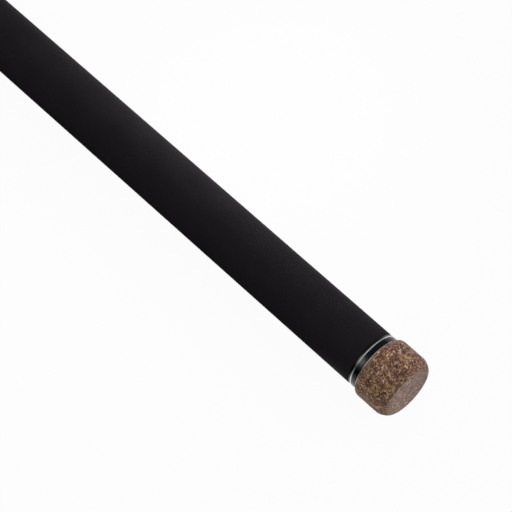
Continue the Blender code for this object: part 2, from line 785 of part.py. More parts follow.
def guide_stations(first, last, count):
    """Stations whose gaps shrink by the same ratio, from the first guide to the last."""
    gaps = [SPACING_RATIO**number for number in range(count - 1)]
    reached = [sum(gaps[:number]) for number in range(count)]
    return [first + (last - first) * share / sum(gaps) for share in reached]


def tip_top(body):
    """The end guide: a tube on the blank's tip, with a leaning hoop and ceramic ring on top of it."""
    blank_radius = TIP.radius(TIP.end - TIP_TUBE_LENGTH)
    bore = blank_radius + FINE_FIT
    outside = bore + TIP_TUBE_WALL
    closed_end = TIP_TUBE_LENGTH + FIT
    nose = closed_end + TIP_TUBE_WALL
    profile = [
        (closed_end, 0.0),
        (closed_end, bore),
        (0.0, bore),
        (0.0, outside),
        (nose - TIP_TUBE_WALL, outside),
        (nose, outside - TIP_TUBE_WALL),
        (nose, 0.0),
    ]
    tube_start = TIP.end - TIP_TUBE_LENGTH
    tube = profile_mesh("tip_top_frame", profile[::-1])
    frame = turn(add_piece("tip_top_frame", tube, "frame", body, tube_start), SMALL_RING_SIDES)
    thickness = PLATE_THICKNESS + PLATE_THICKNESS_SHARE * TIP_TOP_RING
    root = bore + TIP_TUBE_WALL / 2
    ankle = math.sqrt(outside**2 - root**2) - thickness / 4
    outlines = frame_outlines(TIP_TOP_RING, TIP_TOP_RISE, ankle)
    plate = plate_mesh("tip_top_hoop", outlines, thickness)
    hoop = add_helper("tip_top_hoop", plate, body, TIP.end, root)
    stand_up(hoop, TIP_TOP_LEAN)
    combine(frame, hoop, "UNION")
    ring_station = TIP.end + TIP_TOP_RISE * math.sin(TIP_TOP_LEAN)
    ring_height = root + TIP_TOP_RISE * math.cos(TIP_TOP_LEAN)
    ceramic_ring("tip_top_ring", TIP_TOP_RING, body, ring_station, ring_height, TIP_TOP_LEAN)
    start = tube_start - FIT - TIP_TOP_WHIPPING_LENGTH
    plain_whipping("tip_top_whipping", TIP, start, TIP_TOP_WHIPPING_LENGTH, body)


def keeper(body, ring_body, hinge_height):
    """A folding hook keeper: a barrel brazed on a foot, and a loop of wire that swings in it."""
    lift = BUTT.radius(KEEPER_STATION) + FINE_FIT
    bore = KEEPER_WIRE_RADIUS + FIT
    outside = bore + KEEPER_BARREL_WALL
    half = KEEPER_BARREL_LENGTH / 2
    profile = [(half, outside), (-half, outside), (-half, bore), (half, bore)]
    mesh = profile_mesh("keeper_bracket", profile)
    bracket = add_piece("keeper_bracket", mesh, "frame", body, KEEPER_STATION, hinge_height)
    turn(bracket, SMALL_RING_SIDES)
    bracket.rotation_euler.z = math.pi / 2
    tongue = tongue_mesh(
        "keeper_foot",
        -outside / 2,
        KEEPER_FOOT_LENGTH,
        KEEPER_FOOT_HALF_WIDTH,
        KEEPER_FOOT_THICKNESS,
    )
    combine(bracket, add_helper("keeper_foot", tongue, body, KEEPER_STATION, lift), "UNION")
    foot = (outside, KEEPER_FOOT_LENGTH, KEEPER_FOOT_HALF_WIDTH, KEEPER_FOOT_THICKNESS)
    foot_whipping("keeper_whipping", BUTT, KEEPER_STATION, foot, body)

    width = KEEPER_RING_HALF_WIDTH
    corner = KEEPER_CORNER_RADIUS
    corner_radii = (corner, corner)
    path = arc((-corner, corner - width), corner_radii, -math.pi / 2, 0.0, 3)
    path += arc((-corner, width - corner), corner_radii, 0.0, math.pi / 2, 3)
    path += arc((-corner - KEEPER_SHANK, 0.0), (width, width), math.pi / 2, 3 * math.pi / 2, 10)
    curve = bpy.data.curves.new("keeper_ring", "CURVE")
    curve.dimensions = "3D"
    curve.bevel_depth = KEEPER_WIRE_RADIUS
    curve.bevel_resolution = 1
    spline = curve.splines.new("POLY")
    spline.points.add(len(path) - 1)
    for point, (along, across) in zip(spline.points, path):
        point.co = (along, across, 0.0, 1.0)
    spline.use_cyclic_u = True
    holder = bpy.data.objects.new("keeper_ring_wire", curve)
    HELPERS.objects.link(holder)
    wire = mesh_of_curve(holder)
    wire.shade_smooth()
    add_piece("keeper_ring", wire, "frame", ring_body, KEEPER_STATION)


for leftover in list(bpy.data.objects):
    bpy.data.objects.remove(leftover)
ROD = new_collection("match_rod")
HELPERS = new_collection("match_rod_helpers")

butt_section = add_body("butt_section", 0.0)
butt_section.rotation_euler.x = math.pi / 2
middle_section = add_body("middle_section", MIDDLE.start, butt_section)
tip_section = add_body("tip_section", TIP.start, middle_section)
sliding_hood = add_body("sliding_hood", MOVING_HOOD_START, butt_section)
turning_nut = add_body("turning_nut", NUT_START, sliding_hood)
keeper_loop = add_body("keeper_loop", KEEPER_STATION, butt_section)
keeper_seat = BUTT.radius(KEEPER_STATION) + FINE_FIT + KEEPER_FOOT_THICKNESS - KEEPER_BITE
keeper_hinge_height = keeper_seat + KEEPER_WIRE_RADIUS + FIT + KEEPER_BARREL_WALL
keeper_loop.location.z = keeper_hinge_height

butt_cap(butt_section)
trim_ring("butt_check", BUTT_CHECK_START, butt_section)
rear_grip(butt_section)
trim_ring("rear_seat_check", SEAT_CHECK_START, butt_section)
seat_arbors(butt_section)
reel_seat(butt_section)
hoods(butt_section, sliding_hood)
lock_nut(turning_nut)
fore_grip(butt_section)
fore_check(butt_section)
keeper(butt_section, keeper_loop, keeper_hinge_height)
butt_blank(butt_section)
middle_blank(middle_section)
tip_blank(tip_section)
plain_whipping(
    "middle_socket_whipping",
    MIDDLE,
    MIDDLE.start + SOCKET_WHIPPING_INSET,
    MIDDLE_SOCKET_WHIPPING,
    middle_section,
)
plain_whipping(
    "tip_socket_whipping",
    TIP,
    TIP.start + SOCKET_WHIPPING_INSET,
    TIP_SOCKET_WHIPPING,
    tip_section,
)

# Guides, counted from the butt: each section's rings, from its first guide's station to its last's
butt_guide_station = BUTT.end - BUTT_GUIDE_FROM_TOP
guide_runs = [
    (BUTT, butt_section, BUTT_RINGS, butt_guide_station, butt_guide_station),
    (
        MIDDLE,
        middle_section,
        MIDDLE_RINGS,
        MIDDLE.start + MIDDLE_GUIDES_FROM_BASE,
        MIDDLE.end - MIDDLE_GUIDES_FROM_TOP,
    ),
    (
        TIP,
        tip_section,
        TIP_RINGS,
        TIP.start + TIP_GUIDES_FROM_BASE,
        TIP.end - TIP_GUIDES_FROM_TOP,
    ),
]
guides_made = 0
for taper, section, rings, first, last in guide_runs:
    stations = guide_stations(first, last, len(rings)) if len(rings) > 1 else [first]
    for station, ring_diameter in zip(stations, rings):
        guides_made += 1
        guide(f"guide_{guides_made}", taper, station, ring_diameter, section)
tip_top(tip_section)
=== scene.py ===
# A match rod: cork butt cap, trim ring and foam grip as photographed, and the rest of a three-piece rod.
# The rod lies along X, from the butt's end face at 0. Its guides face -Y. Lengths are in metres.
import json
import math

import bmesh
import bpy
import numpy as np
from mathutils import Matrix, Vector


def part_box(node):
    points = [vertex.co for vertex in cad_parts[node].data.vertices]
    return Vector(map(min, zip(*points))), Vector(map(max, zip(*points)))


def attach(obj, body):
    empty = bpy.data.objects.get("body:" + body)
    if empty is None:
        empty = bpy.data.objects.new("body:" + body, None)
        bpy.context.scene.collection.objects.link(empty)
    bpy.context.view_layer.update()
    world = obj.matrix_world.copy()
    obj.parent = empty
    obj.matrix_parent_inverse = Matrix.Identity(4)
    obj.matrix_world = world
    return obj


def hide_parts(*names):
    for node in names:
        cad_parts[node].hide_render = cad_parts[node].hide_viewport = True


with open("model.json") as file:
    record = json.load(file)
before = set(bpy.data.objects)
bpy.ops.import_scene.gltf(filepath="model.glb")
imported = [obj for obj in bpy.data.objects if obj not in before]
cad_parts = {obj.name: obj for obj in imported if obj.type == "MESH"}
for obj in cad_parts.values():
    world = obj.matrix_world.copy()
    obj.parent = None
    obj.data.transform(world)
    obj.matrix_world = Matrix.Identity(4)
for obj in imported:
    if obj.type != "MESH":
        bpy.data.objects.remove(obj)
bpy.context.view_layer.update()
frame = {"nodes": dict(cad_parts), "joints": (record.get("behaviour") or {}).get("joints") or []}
mm = 0.001
print("frame loaded")


# A node's stations along the rod, and its widest radius: half its size across the rod and the guides
def stations(node):
    low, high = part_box(node)
    return low[0], high[0], (high[2] - low[2]) / 2


# Even angles of a full turn
def around(sides):
    return np.linspace(0.0, 2 * np.pi, sides, endpoint=False)


# How far round an angle is from the guides' side, whichever way is shorter
def awayFromGuides(angle):
    return np.abs((angle + np.pi) % (2 * np.pi) - np.pi)


def unit(values):
    return np.clip(values, 0.0, 1.0)


# Mesh from a grid of points. Each four neighbours make a quad; the last column joins the first, and so
# do wrapped rows. A row on the axis is a pole, whose points merge into one.
def gridMesh(points, wrapRows=True, sharp=35.0):
    rows, columns = points.shape[:2]
    index = np.arange(rows * columns).reshape(rows, columns)
    if wrapRows:
        index = np.vstack([index, index[:1]])
    index = np.hstack([index, index[:, :1]])
    quads = np.stack([index[:-1, :-1], index[:-1, 1:], index[1:, 1:], index[1:, :-1]], axis=-1)
    mesh = bpy.data.meshes.new("surface")
    mesh.from_pydata(points.reshape(-1, 3), [], quads.reshape(-1, 4))
    work = bmesh.new()
    work.from_mesh(mesh)
    bmesh.ops.remove_doubles(work, verts=work.verts, dist=1e-6)
    bmesh.ops.recalc_face_normals(work, faces=work.faces)
    work.to_mesh(mesh)
    work.free()
    mesh.shade_smooth()
    mesh.set_sharp_from_angle(angle=math.radians(sharp))
    return mesh


def addObject(name, data):
    added = bpy.data.objects.new(name, data)
    bpy.context.scene.collection.objects.link(added)
    return added


# A finished piece stands for its node. Without a name of its own it is called after it: lock_nut is lockNut.
def addPiece(node, mesh, material, body, name=None):
    first, *others = node.split("_")
    name = name or first + "".join(word.capitalize() for word in others)
    mesh.name = name
    mesh.materials.append(bpy.data.materials[material])
    piece = addObject(name, mesh)
    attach(piece, body)
    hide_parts(node)


# Each value's sign times its size to the power 2 / power. With it a cosine and a sine draw a squarer
# ellipse where the power is more than 2, and a flatter one where it is less.
def bent(values, power):
    return np.sign(values) * np.abs(values) ** (2 / power)


# Points of part of an ellipse about (station, radius), from one angle to another
def arc(station, radius, along, across, start, end, steps, power=2.0):
    angle = np.linspace(start, end, steps)
    reachAlong, reachAcross = bent(np.cos(angle), power), bent(np.sin(angle), power)
    return np.stack([station + along * reachAlong, radius + across * reachAcross], axis=1)


# The rear and front edge of a sleeve, each a quarter circle
def roundedEnds(start, end, rearRadius, frontRadius, soft, steps):
    rear = arc(start + soft, rearRadius - soft, soft, soft, np.pi, np.pi / 2, steps)
    front = arc(end - soft, frontRadius - soft, soft, soft, np.pi / 2, 0.0, steps)
    return rear, front


# A ring's rectangular section with its corners cut off: (along, radius) points, one half mirrored
def cutCorners(half, inner, outer, cut):
    side = [[half - cut, outer], [half, outer - cut], [half, inner + cut], [half - cut, inner]]
    return np.vstack([side, np.array(side[::-1]) * [-1, 1]])


# Straight run of a profile between two (station, radius) points, both ends included
def run(start, end, steps):
    share = np.linspace(0.0, 1.0, steps)[:, None]
    return np.asarray(start) * (1 - share) + np.asarray(end) * share


# A turned surface: each profile point goes round X, so its radius becomes (radius cos a, radius sin a).
def turnedPoints(profile, sides):
    angle = around(sides)
    along = np.broadcast_to(profile[:, :1], (len(profile), sides))
    return np.stack([along, profile[:, 1:] * np.cos(angle), profile[:, 1:] * np.sin(angle)], axis=-1)


# The same with a radius for each station and angle. Angles are counted from the guides' side, -Y.
def roundPoints(along, radius, angle):
    along = np.broadcast_to(along, radius.shape)
    return np.stack([along, -radius * np.cos(angle), radius * np.sin(angle)], axis=-1)


# A cross-section with rounded corners: a squarer ellipse, (across, rise)
def roundedBox(halfWidth, halfHeight, steps, power=5.0):
    angle = around(steps) + np.pi / steps
    return halfWidth * bent(np.cos(angle), power), halfHeight * bent(np.sin(angle), power)


# The radius at which each angle meets a flat of the given height, or the other radius round the back
def flatRadius(height, angle, otherwise):
    facing = np.cos(angle)
    return np.where(facing > 0.5, height / np.maximum(facing, 0.5), otherwise)


# Points drawn with the guides standing up, turned so that up becomes -Y and across becomes +Z
def layDown(along, across, up):
    return np.stack(np.broadcast_arrays(along, -up, across), axis=-1)


# Cells of a jittered cubic lattice round each point: how much further the second nearest cell centre is
# than the nearest one, and a number from 0 to 1 that belongs to the nearest cell. Two sines of the other
# coordinates bend the cells' walls.
def cells(points, size, seed):
    place = points.reshape(-1, 3) / size
    place = place + 0.16 * np.sin(2.9 * place[:, [1, 2, 0]]) + 0.08 * np.sin(7.3 * place[:, [2, 0, 1]])
    home = np.floor(place).astype(np.int64)
    nearest = np.full(len(place), 9.0)
    second = np.full(len(place), 9.0)
    tone = np.zeros(len(place))
    for offset in np.ndindex(3, 3, 3):
        cell = home + np.array(offset) - 1
        centre = cell + np.stack([hashed(cell, seed + axis) for axis in range(3)], axis=1)
        reach = np.linalg.norm(centre - place, axis=1)
        closer = reach < nearest
        second = np.where(closer, nearest, np.minimum(second, reach))
        tone = np.where(closer, hashed(cell, seed + 3), tone)
        nearest = np.where(closer, reach, nearest)
    shape = points.shape[:-1]
    return (second - nearest).reshape(shape), tone.reshape(shape)


# A number from 0 to 1 for each whole-numbered cell: its three numbers are multiplied by large odd
# numbers, mixed with the seed and folded by shifts.
def hashed(cell, seed):
    mixed = cell[:, 0] * 73856093 ^ cell[:, 1] * 19349663 ^ cell[:, 2] * 83492791 ^ (seed * 2654435761)
    mixed = (mixed ^ (mixed >> 13)) * 1274126177
    mixed = (mixed ^ (mixed >> 16)) & 0xFFFFFF
    return mixed / float(0xFFFFFF)


def setAttribute(mesh, name, values):
    layer = mesh.attributes.new(name, "FLOAT", "POINT")
    layer.data.foreach_set("value", values.astype(np.float32).ravel())


def meshPoints(mesh):
    points = np.zeros(len(mesh.vertices) * 3)
    mesh.vertices.foreach_get("co", points)
    return points.reshape(-1, 3)


# Materials: a small wiring kit. A socket's name is written with _ for its spaces, and a new node goes into
# the tree of the socket that it reads.
def newMaterial(name, **sockets):
    material = bpy.data.materials.new(name)
    material.use_nodes = True
    for socket, value in sockets.items():
        wire(value, shaderOf(material.node_tree).inputs[socket.replace("_", " ")])
    return material.node_tree


def shaderOf(tree):
    return tree.nodes["Principled BSDF"]


# A node's kind is written without ShaderNode in front. A setting is one of the node's own or a socket's.
def addNode(tree, kind, **settings):
    node = tree.nodes.new("ShaderNode" + kind)
    for key, value in settings.items():
        if hasattr(node, key):
            setattr(node, key, value)
        else:
            node.inputs[key.replace("_", " ")].default_value = value
    return node


# Feeds a socket from another one, or gives it a plain value.
def wire(source, target):
    if isinstance(source, bpy.types.NodeSocket):
        target.id_data.links.new(source, target)
    else:
        target.default_value = source


def wireToShader(source, socket):
    wire(source, shaderOf(source.id_data).inputs[socket])


def readAttribute(tree, name):
    return addNode(tree, "Attribute", attribute_name=name).outputs["Fac"]


# A texture on the piece's own coordinates, stretched by one factor for each axis
def addTexture(tree, kind, scale, **settings):
    place = addNode(tree, "TexCoord")
    mapping = addNode(tree, "Mapping", Scale=scale)
    texture = addNode(tree, kind, Scale=1.0, **settings)
    wire(place.outputs["Object"], mapping.inputs["Vector"])
    wire(mapping.outputs["Vector"], texture.inputs["Vector"])
    return texture


# A new node's output, the node being fed at the given inputs with sockets and numbers
def combined(kind, output, inputs, values, **settings):
    tree = next(value.id_data for value in values if isinstance(value, bpy.types.NodeSocket))
    node = addNode(tree, kind, **settings)
    for number, value in zip(inputs, values):
        wire(value, node.inputs[number])
    return node.outputs[output]


# A socket's value taken from one range to another: the socket, the first range and the second
def addRange(*values):
    return combined("MapRange", "Result", range(5), values)


# Noise, whose usual values of 0.3 to 0.7 are spread over a range
def addNoise(tree, scale, low, high, detail=3.0):
    noise = addTexture(tree, "TexNoise", scale, Detail=detail, Roughness=0.6)
    return addRange(noise.outputs["Fac"], 0.3, 0.7, low, high)


# A sum on sockets and numbers
def addMath(operation, *values):
    return combined("Math", "Value", range(3), values, operation=operation)


# The values are a factor, a first and a second: the result goes from the first to the second, as the
# factor goes from 0 to 1.
def addMix(*values):
    return combined("Mix", 0, (0, 2, 3), values)


def mixColours(*values):
    return combined("Mix", 2, (0, 6, 7), values, data_type="RGBA")


def scaleColour(colour, factor):
    return combined("VectorMath", "Vector", (0, 3), (colour, factor), operation="SCALE")


def addBump(height, strength, distance):
    bump = addNode(height.id_data, "Bump", Strength=strength, Distance=distance)
    wire(height, bump.inputs["Height"])
    wireToShader(bump.outputs["Normal"], "Normal")


# Colours for a value from 0 to 1, at the given positions
def addRamp(value, *stops):
    tones = addNode(value.id_data, "ValToRGB")
    ramp = tones.color_ramp
    ramp.elements.remove(ramp.elements[-1])
    ramp.elements[0].position = stops[0][0]
    ramp.elements[0].color = (*stops[0][1], 1.0)
    for position, colour in stops[1:]:
        ramp.elements.new(position).color = (*colour, 1.0)
    wire(value, tones.inputs["Fac"])
    return tones.outputs["Color"]


# Each plain finish: how fine its pattern is along and across the rod, its dark and light tone, its two
# values of roughness, the depth of its relief, and what else its shader is given
finishLook = {
    "glossCheck": ((300, 300), (0.0012, 0.0012, 0.0014), (0.0022, 0.0022, 0.0025), (0.06, 0.11), 0.0, {}),
    "brightEdge": (
        (9000, 300), (0.62, 0.62, 0.64), (0.86, 0.86, 0.87), (0.14, 0.30), 0.0, {"Metallic": 1.0}
    ),
    "seatMoulding": (
        (700, 700), (0.009, 0.009, 0.0095), (0.0135, 0.0135, 0.014), (0.3, 0.42), 0.02 * mm, {}
    ),
    "anodisedHood": (
        (6000, 250), (0.052, 0.052, 0.057), (0.078, 0.078, 0.084), (0.22, 0.34), 0.01 * mm, {"Metallic": 1.0}
    ),
    "arborFoam": ((1600, 1600), (0.34, 0.31, 0.26), (0.52, 0.48, 0.41), (0.8, 0.95), 0.1 * mm, {}),
    "carbonBlank": (
        (60, 4500),
        (0.0065, 0.0065, 0.0072),
        (0.019, 0.019, 0.0205),
        (0.28, 0.46),
        0.01 * mm,
        {"Coat_Weight": 1.0, "Coat_Roughness": 0.04},
    ),
    "platedFrame": (
        (1800, 1800), (0.075, 0.076, 0.082), (0.110, 0.111, 0.118), (0.16, 0.28), 0.0, {"Metallic": 1.0}
    ),
    "ceramicRing": (
        (1500, 1500), (0.03, 0.032, 0.037), (0.042, 0.045, 0.052), (0.04, 0.09), 0.0, {"IOR": 2.0}
    ),
}


# The colour runs between the two tones and the roughness wavers, each by its own noise.
def plainFinish(name):
    (along, across), dark, light, roughness, relief, sockets = finishLook[name]
    tree = newMaterial(name, **sockets)
    cloud = addNoise(tree, (along, across, across), 0.0, 1.0, detail=4.0)
    wireToShader(addRamp(cloud, (0.0, dark), (1.0, light)), "Base Color")
    finer = (1.7 * along, 1.7 * across, 1.7 * across)
    wireToShader(addNoise(tree, finer, *roughness), "Roughness")
    if relief:
        addBump(cloud, 0.3, relief)


foamLook = {
    "tones": ((0.0, (0.0098, 0.0081, 0.0101)), (1.0, (0.0124, 0.0102, 0.0127))),
    "speckTones": ((0.0, (0.018, 0.017, 0.019)), (1.0, (0.030, 0.028, 0.031))),
    "cloudFineness": 70.0,
    "speckFineness": 420.0,
    "speckEdge": (0.03, 0.09),
    "poreFineness": 2600.0,
    "poreRelief": 0.04 * mm,
}


# Clouded foam with small pale specks and fine pores
def foamMaterial():
    look = foamLook
    tree = newMaterial("gripFoam", Roughness=0.68, Specular_IOR_Level=0.07)
    cloud = addNoise(tree, (look["cloudFineness"],) * 3, 0.0, 1.0, detail=5.0)
    tones, grey = (addRamp(cloud, *look[key]) for key in ("tones", "speckTones"))
    specks, pores = (
        addTexture(tree, "TexVoronoi", (look[key],) * 3).outputs["Distance"]
        for key in ("speckFineness", "poreFineness")
    )
    speck = addRange(specks, *look["speckEdge"], 1.0, 0.0)
    wireToShader(mixColours(speck, tones, grey), "Base Color")
    addBump(pores, 0.5, look["poreRelief"])


# The cork's colours, as (lightness of the granule, colour)
corkLook = {
    "orange": (
        (0.0, (0.034, 0.012, 0.004)),
        (0.25, (0.120, 0.048, 0.018)),
        (0.55, (0.268, 0.128, 0.052)),
        (0.80, (0.490, 0.276, 0.132)),
        (1.0, (0.850, 0.600, 0.345)),
    ),
    "pinkish": (
        (0.0, (0.034, 0.014, 0.009)),
        (0.25, (0.122, 0.051, 0.034)),
        (0.55, (0.270, 0.130, 0.091)),
        (0.80, (0.490, 0.266, 0.196)),
        (1.0, (0.840, 0.600, 0.480)),
    ),
    # The end face's paler, greyer colours: partly sanded cork, partly a painted sheen.
    "pale": (
        (0.0, (0.059, 0.029, 0.019)),
        (0.5, (0.202, 0.115, 0.084)),
        (1.0, (0.522, 0.332, 0.258)),
    ),
    "fineness": 2600.0,
    "fineTone": (0.0, 1.0, 0.62, 1.34),
    "gapTone": (0.0, 1.0, 0.3, 1.0),
    "fineRelief": 0.06 * mm,
}


# Cork: one attribute picks how light each granule is, and carries painted light that makes the +Y side
# lighter; the hue attribute picks whether it is orange, brown or pinkish. The gap attribute darkens the seams
# between granules and carries painted shade on the rim, and a last attribute turns the end face paler and
# greyer: partly sanded cork, partly a painted sheen.
def corkMaterial():
    look = corkLook
    tree = newMaterial("burlCork", Roughness=0.6, IOR=1.45, Sheen_Weight=0.08, Sheen_Roughness=0.4)
    grain, hue, gap, sandedAndSheen = (readAttribute(tree, name) for name in ("grain", "hue", "gap", "sandedAndSheen"))
    # The granules' lightness carries painted light: lighter on the +Y side.
    orange, pinkish, pale = (addRamp(grain, *look[key]) for key in ("orange", "pinkish", "pale"))
    fine = addTexture(tree, "TexNoise", (look["fineness"],) * 3, Detail=4.0, Roughness=0.7)
    fineTone = addRange(fine.outputs["Fac"], *look["fineTone"])
    skin = mixColours(hue, orange, pinkish)
    # Seams are darker; on the rim this also carries painted shade.
    skin = scaleColour(skin, addRange(gap, *look["gapTone"]))
    # The end face's pale mix: partly sanded cork, partly a painted sheen.
    skin = mixColours(sandedAndSheen, skin, pale)
    wireToShader(scaleColour(skin, fineTone), "Base Color")
    addBump(fine.outputs["Fac"], 0.35, look["fineRelief"])


# Thread: the band attribute runs from 0, black thread, to 1, the bright trim turns.
def threadMaterial():
    tree = newMaterial("wrappedThread", Roughness=0.45, Coat_Weight=1.0, Coat_Roughness=0.05)
    band = readAttribute(tree, "band")
    tones = addRamp(band, (0.45, (0.0075, 0.0075, 0.0085)), (0.55, (0.36, 0.36, 0.38)))
    fibres = addNoise(tree, (2600.0, 5200.0, 5200.0), 0.65, 1.35, detail=2.0)
    wireToShader(scaleColour(tones, fibres), "Base Color")
    wireToShader(addRange(band, 0.45, 0.55, 0.0, 0.85), "Metallic")


for name in finishLook:
    plainFinish(name)
foamMaterial()
corkMaterial()
threadMaterial()
print("materials ready")


# Rows are those of the face, rim, side, shoulder and seat; then those without relief and those over which it
# fades. Gap widths are in granule sizes; the fine relief and fine gap depth are shares of the coarse ones.
capLook = {
    "shoulderDepth": 1.05 * mm,
    "shoulderLength": 2.6 * mm,
    "shoulderPower": 2.4,
    "rimDepth": 3.1 * mm,
    "rimLength": 4.9 * mm,
    "rimPower": 1.7,
    "socketRadius": 6.8 * mm,
    "socketDepth": 11.0 * mm,
    "sides": 420,
    "rows": (74, 52, 52, 30, 16),
    "fadeRows": (3, 6),
    "coarseSize": 0.84 * mm,
    "coarseSeed": 11,
    "hueSeed": 23,
    "fineSize": 0.46 * mm,
    "fineSeed": 47,
    "coarseShare": 0.54,
    "grainContrast": 1.2,
    # Painted light: granules are lighter towards +Y. They also turn browner there.
    "paintedLightAside": 0.05,
    "brownerAside": 0.38,
    "grainRelief": 0.05 * mm,
    "fineRelief": 0.4,
    "gapDepth": 0.10 * mm,
    "gapWidth": 0.22,
    "fineGapDepth": 0.3,
    "fineGapWidth": 0.3,
    "reliefOnFace": 0.25,
    "faceDepth": 0.4 * mm,
    "darkGapWidth": 0.2,
    "fineGapTone": 0.6,
    # Painted shade: the rim next to the end face is darker over this distance, by this share.
    "paintedShadeRim": 2.2 * mm,
    "paintedShadeRimShare": 0.45,
    # The end face's paler, greyer tone is partly sanded cork and partly a painted sheen, less near its edge.
    "sandedAndSheenEdge": 0.12 * mm,
    "sandedAndSheenAtEdge": 0.55,
    "sandedAndSheenInside": 0.95,
    "sandedAndSheenFade": 4.0 * mm,
}


# The coarse granules' gap and tone at each point, and the fine ones'
def corkGrain(points):
    look = capLook
    coarse = cells(points, look["coarseSize"], look["coarseSeed"])
    return coarse + cells(points, look["fineSize"], look["fineSeed"])


# The cap's profile runs from the centre of its end face over the rim and shoulder into the blank's socket.
# Each point then moves along its normal, out or in by its granule's own height and in where two granules
# meet. This fades out over the shoulder's last rows and is less deep in the end face.
def buildButtCap():
    look = capLook
    length, radius = stations("butt_cap")[1:]
    rimRadius, rimLength = radius - look["rimDepth"], look["rimLength"]
    shoulderStart, shoulderRadius = length - look["shoulderLength"], radius - look["shoulderDepth"]
    faceRows, rimRows, sideRows, shoulderRows, seatRows = look["rows"]
    face = run((0.0, 0.0), (0.0, rimRadius), faceRows)
    rim = arc(rimLength, rimRadius, rimLength, look["rimDepth"], np.pi, np.pi / 2, rimRows, look["rimPower"])
    side = run((rimLength, radius), (shoulderStart, radius), sideRows)
    reach = (look["shoulderLength"], look["shoulderDepth"], np.pi / 2, 0.0)
    shoulder = arc(shoulderStart, shoulderRadius, *reach, shoulderRows, look["shoulderPower"])
    seat = run((length, shoulderRadius), (length, look["socketRadius"]), seatRows)
    floor = length - look["socketDepth"]
    outer = np.vstack([face, rim[1:], side[1:], shoulder[1:]])
    profile = np.vstack([outer, seat[1:], [[floor, look["socketRadius"]], [floor, 0.0]]])
    slope = np.gradient(profile, axis=0)
    normal = np.stack([-slope[:, 1], slope[:, 0]], axis=1)
    normal /= np.linalg.norm(normal, axis=1, keepdims=True)
    points = turnedPoints(profile, look["sides"])
    gap, tone, fineGap, fineTone = corkGrain(points)
    height = look["grainRelief"] * (tone - 0.5 + look["fineRelief"] * (fineTone - 0.5))
    height -= look["gapDepth"] * (1.0 - unit(gap / look["gapWidth"])) ** 2
    height -= look["fineGapDepth"] * look["gapDepth"] * (1.0 - unit(fineGap / look["fineGapWidth"])) ** 2
    bare, fade = look["fadeRows"]
    onSkin = unit((len(outer) - bare - np.arange(len(profile))) / fade)
    inFace = look["reliefOnFace"]
    onSkin *= inFace + (1.0 - inFace) * unit(profile[:, 0] / look["faceDepth"])
    points = points + turnedPoints(normal, look["sides"]) * (height * onSkin[:, None])[..., None]
    points[0] = points[0].mean(axis=0)
    mesh = gridMesh(points, wrapRows=False, sharp=50.0)
    colourCork(mesh, radius, rimRadius)
    addPiece("butt_cap", mesh, "burlCork", "butt_section", "corkButtCap")


# What the cork's material reads. Granules get painted light that makes them lighter towards +Y, and turn
# browner there; seams are darker, with painted shade on the rim; the end face is paler and greyer, partly
# sanded cork and partly a painted sheen, less so near its edge.
def colourCork(mesh, radius, rimRadius):
    look = capLook
    placed = meshPoints(mesh)[:, None]
    fromFace, aside = placed[..., 0], placed[..., 1] / radius
    gap, tone, fineGap, fineTone = corkGrain(placed)
    grain = fineTone + look["coarseShare"] * (tone - fineTone)
    # Painted light: the granules get lighter towards +Y.
    grain = 0.5 + look["grainContrast"] * (grain - 0.5) + look["paintedLightAside"] * aside
    hue = cells(placed, look["coarseSize"], look["hueSeed"])[1] - look["brownerAside"] * aside
    fineShare = look["fineGapTone"] + (1.0 - look["fineGapTone"]) * unit(fineGap / look["fineGapWidth"])
    # Painted shade: the rim next to the end face is darker.
    onRim = unit(1.0 - fromFace / look["paintedShadeRim"])
    gap = unit(gap / look["darkGapWidth"]) * fineShare * (1.0 - look["paintedShadeRimShare"] * onRim)
    # The end face's paler, greyer tone: partly sanded cork, partly a painted sheen.
    inside = unit((rimRadius - np.linalg.norm(placed[..., 1:], axis=-1)) / look["sandedAndSheenFade"])
    sandedAndSheen = look["sandedAndSheenAtEdge"] + (look["sandedAndSheenInside"] - look["sandedAndSheenAtEdge"]) * inside
    sandedAndSheen = sandedAndSheen * unit(1.6 - fromFace / look["sandedAndSheenEdge"])
    for name, values in (("grain", unit(grain)), ("hue", unit(hue)), ("gap", gap), ("sandedAndSheen", sandedAndSheen)):
        setAttribute(mesh, name, values)


checkLook = {
    "bore": 6.85 * mm,
    "edgeWidth": 0.45 * mm,
    "edgeDepth": 0.30 * mm,
    "slopeDepth": 0.06 * mm,
    "slopeEnd": 1.25 * mm,
    "frontEdge": 0.12 * mm,
    "lineWidth": 0.62 * mm,
    "lineDepth": 0.22 * mm,
    "lineFromFront": 0.78 * mm,
    "foreFrontRadius": 6.88 * mm,
    "foreBore": 5.9 * mm,
    "sides": 256,
}


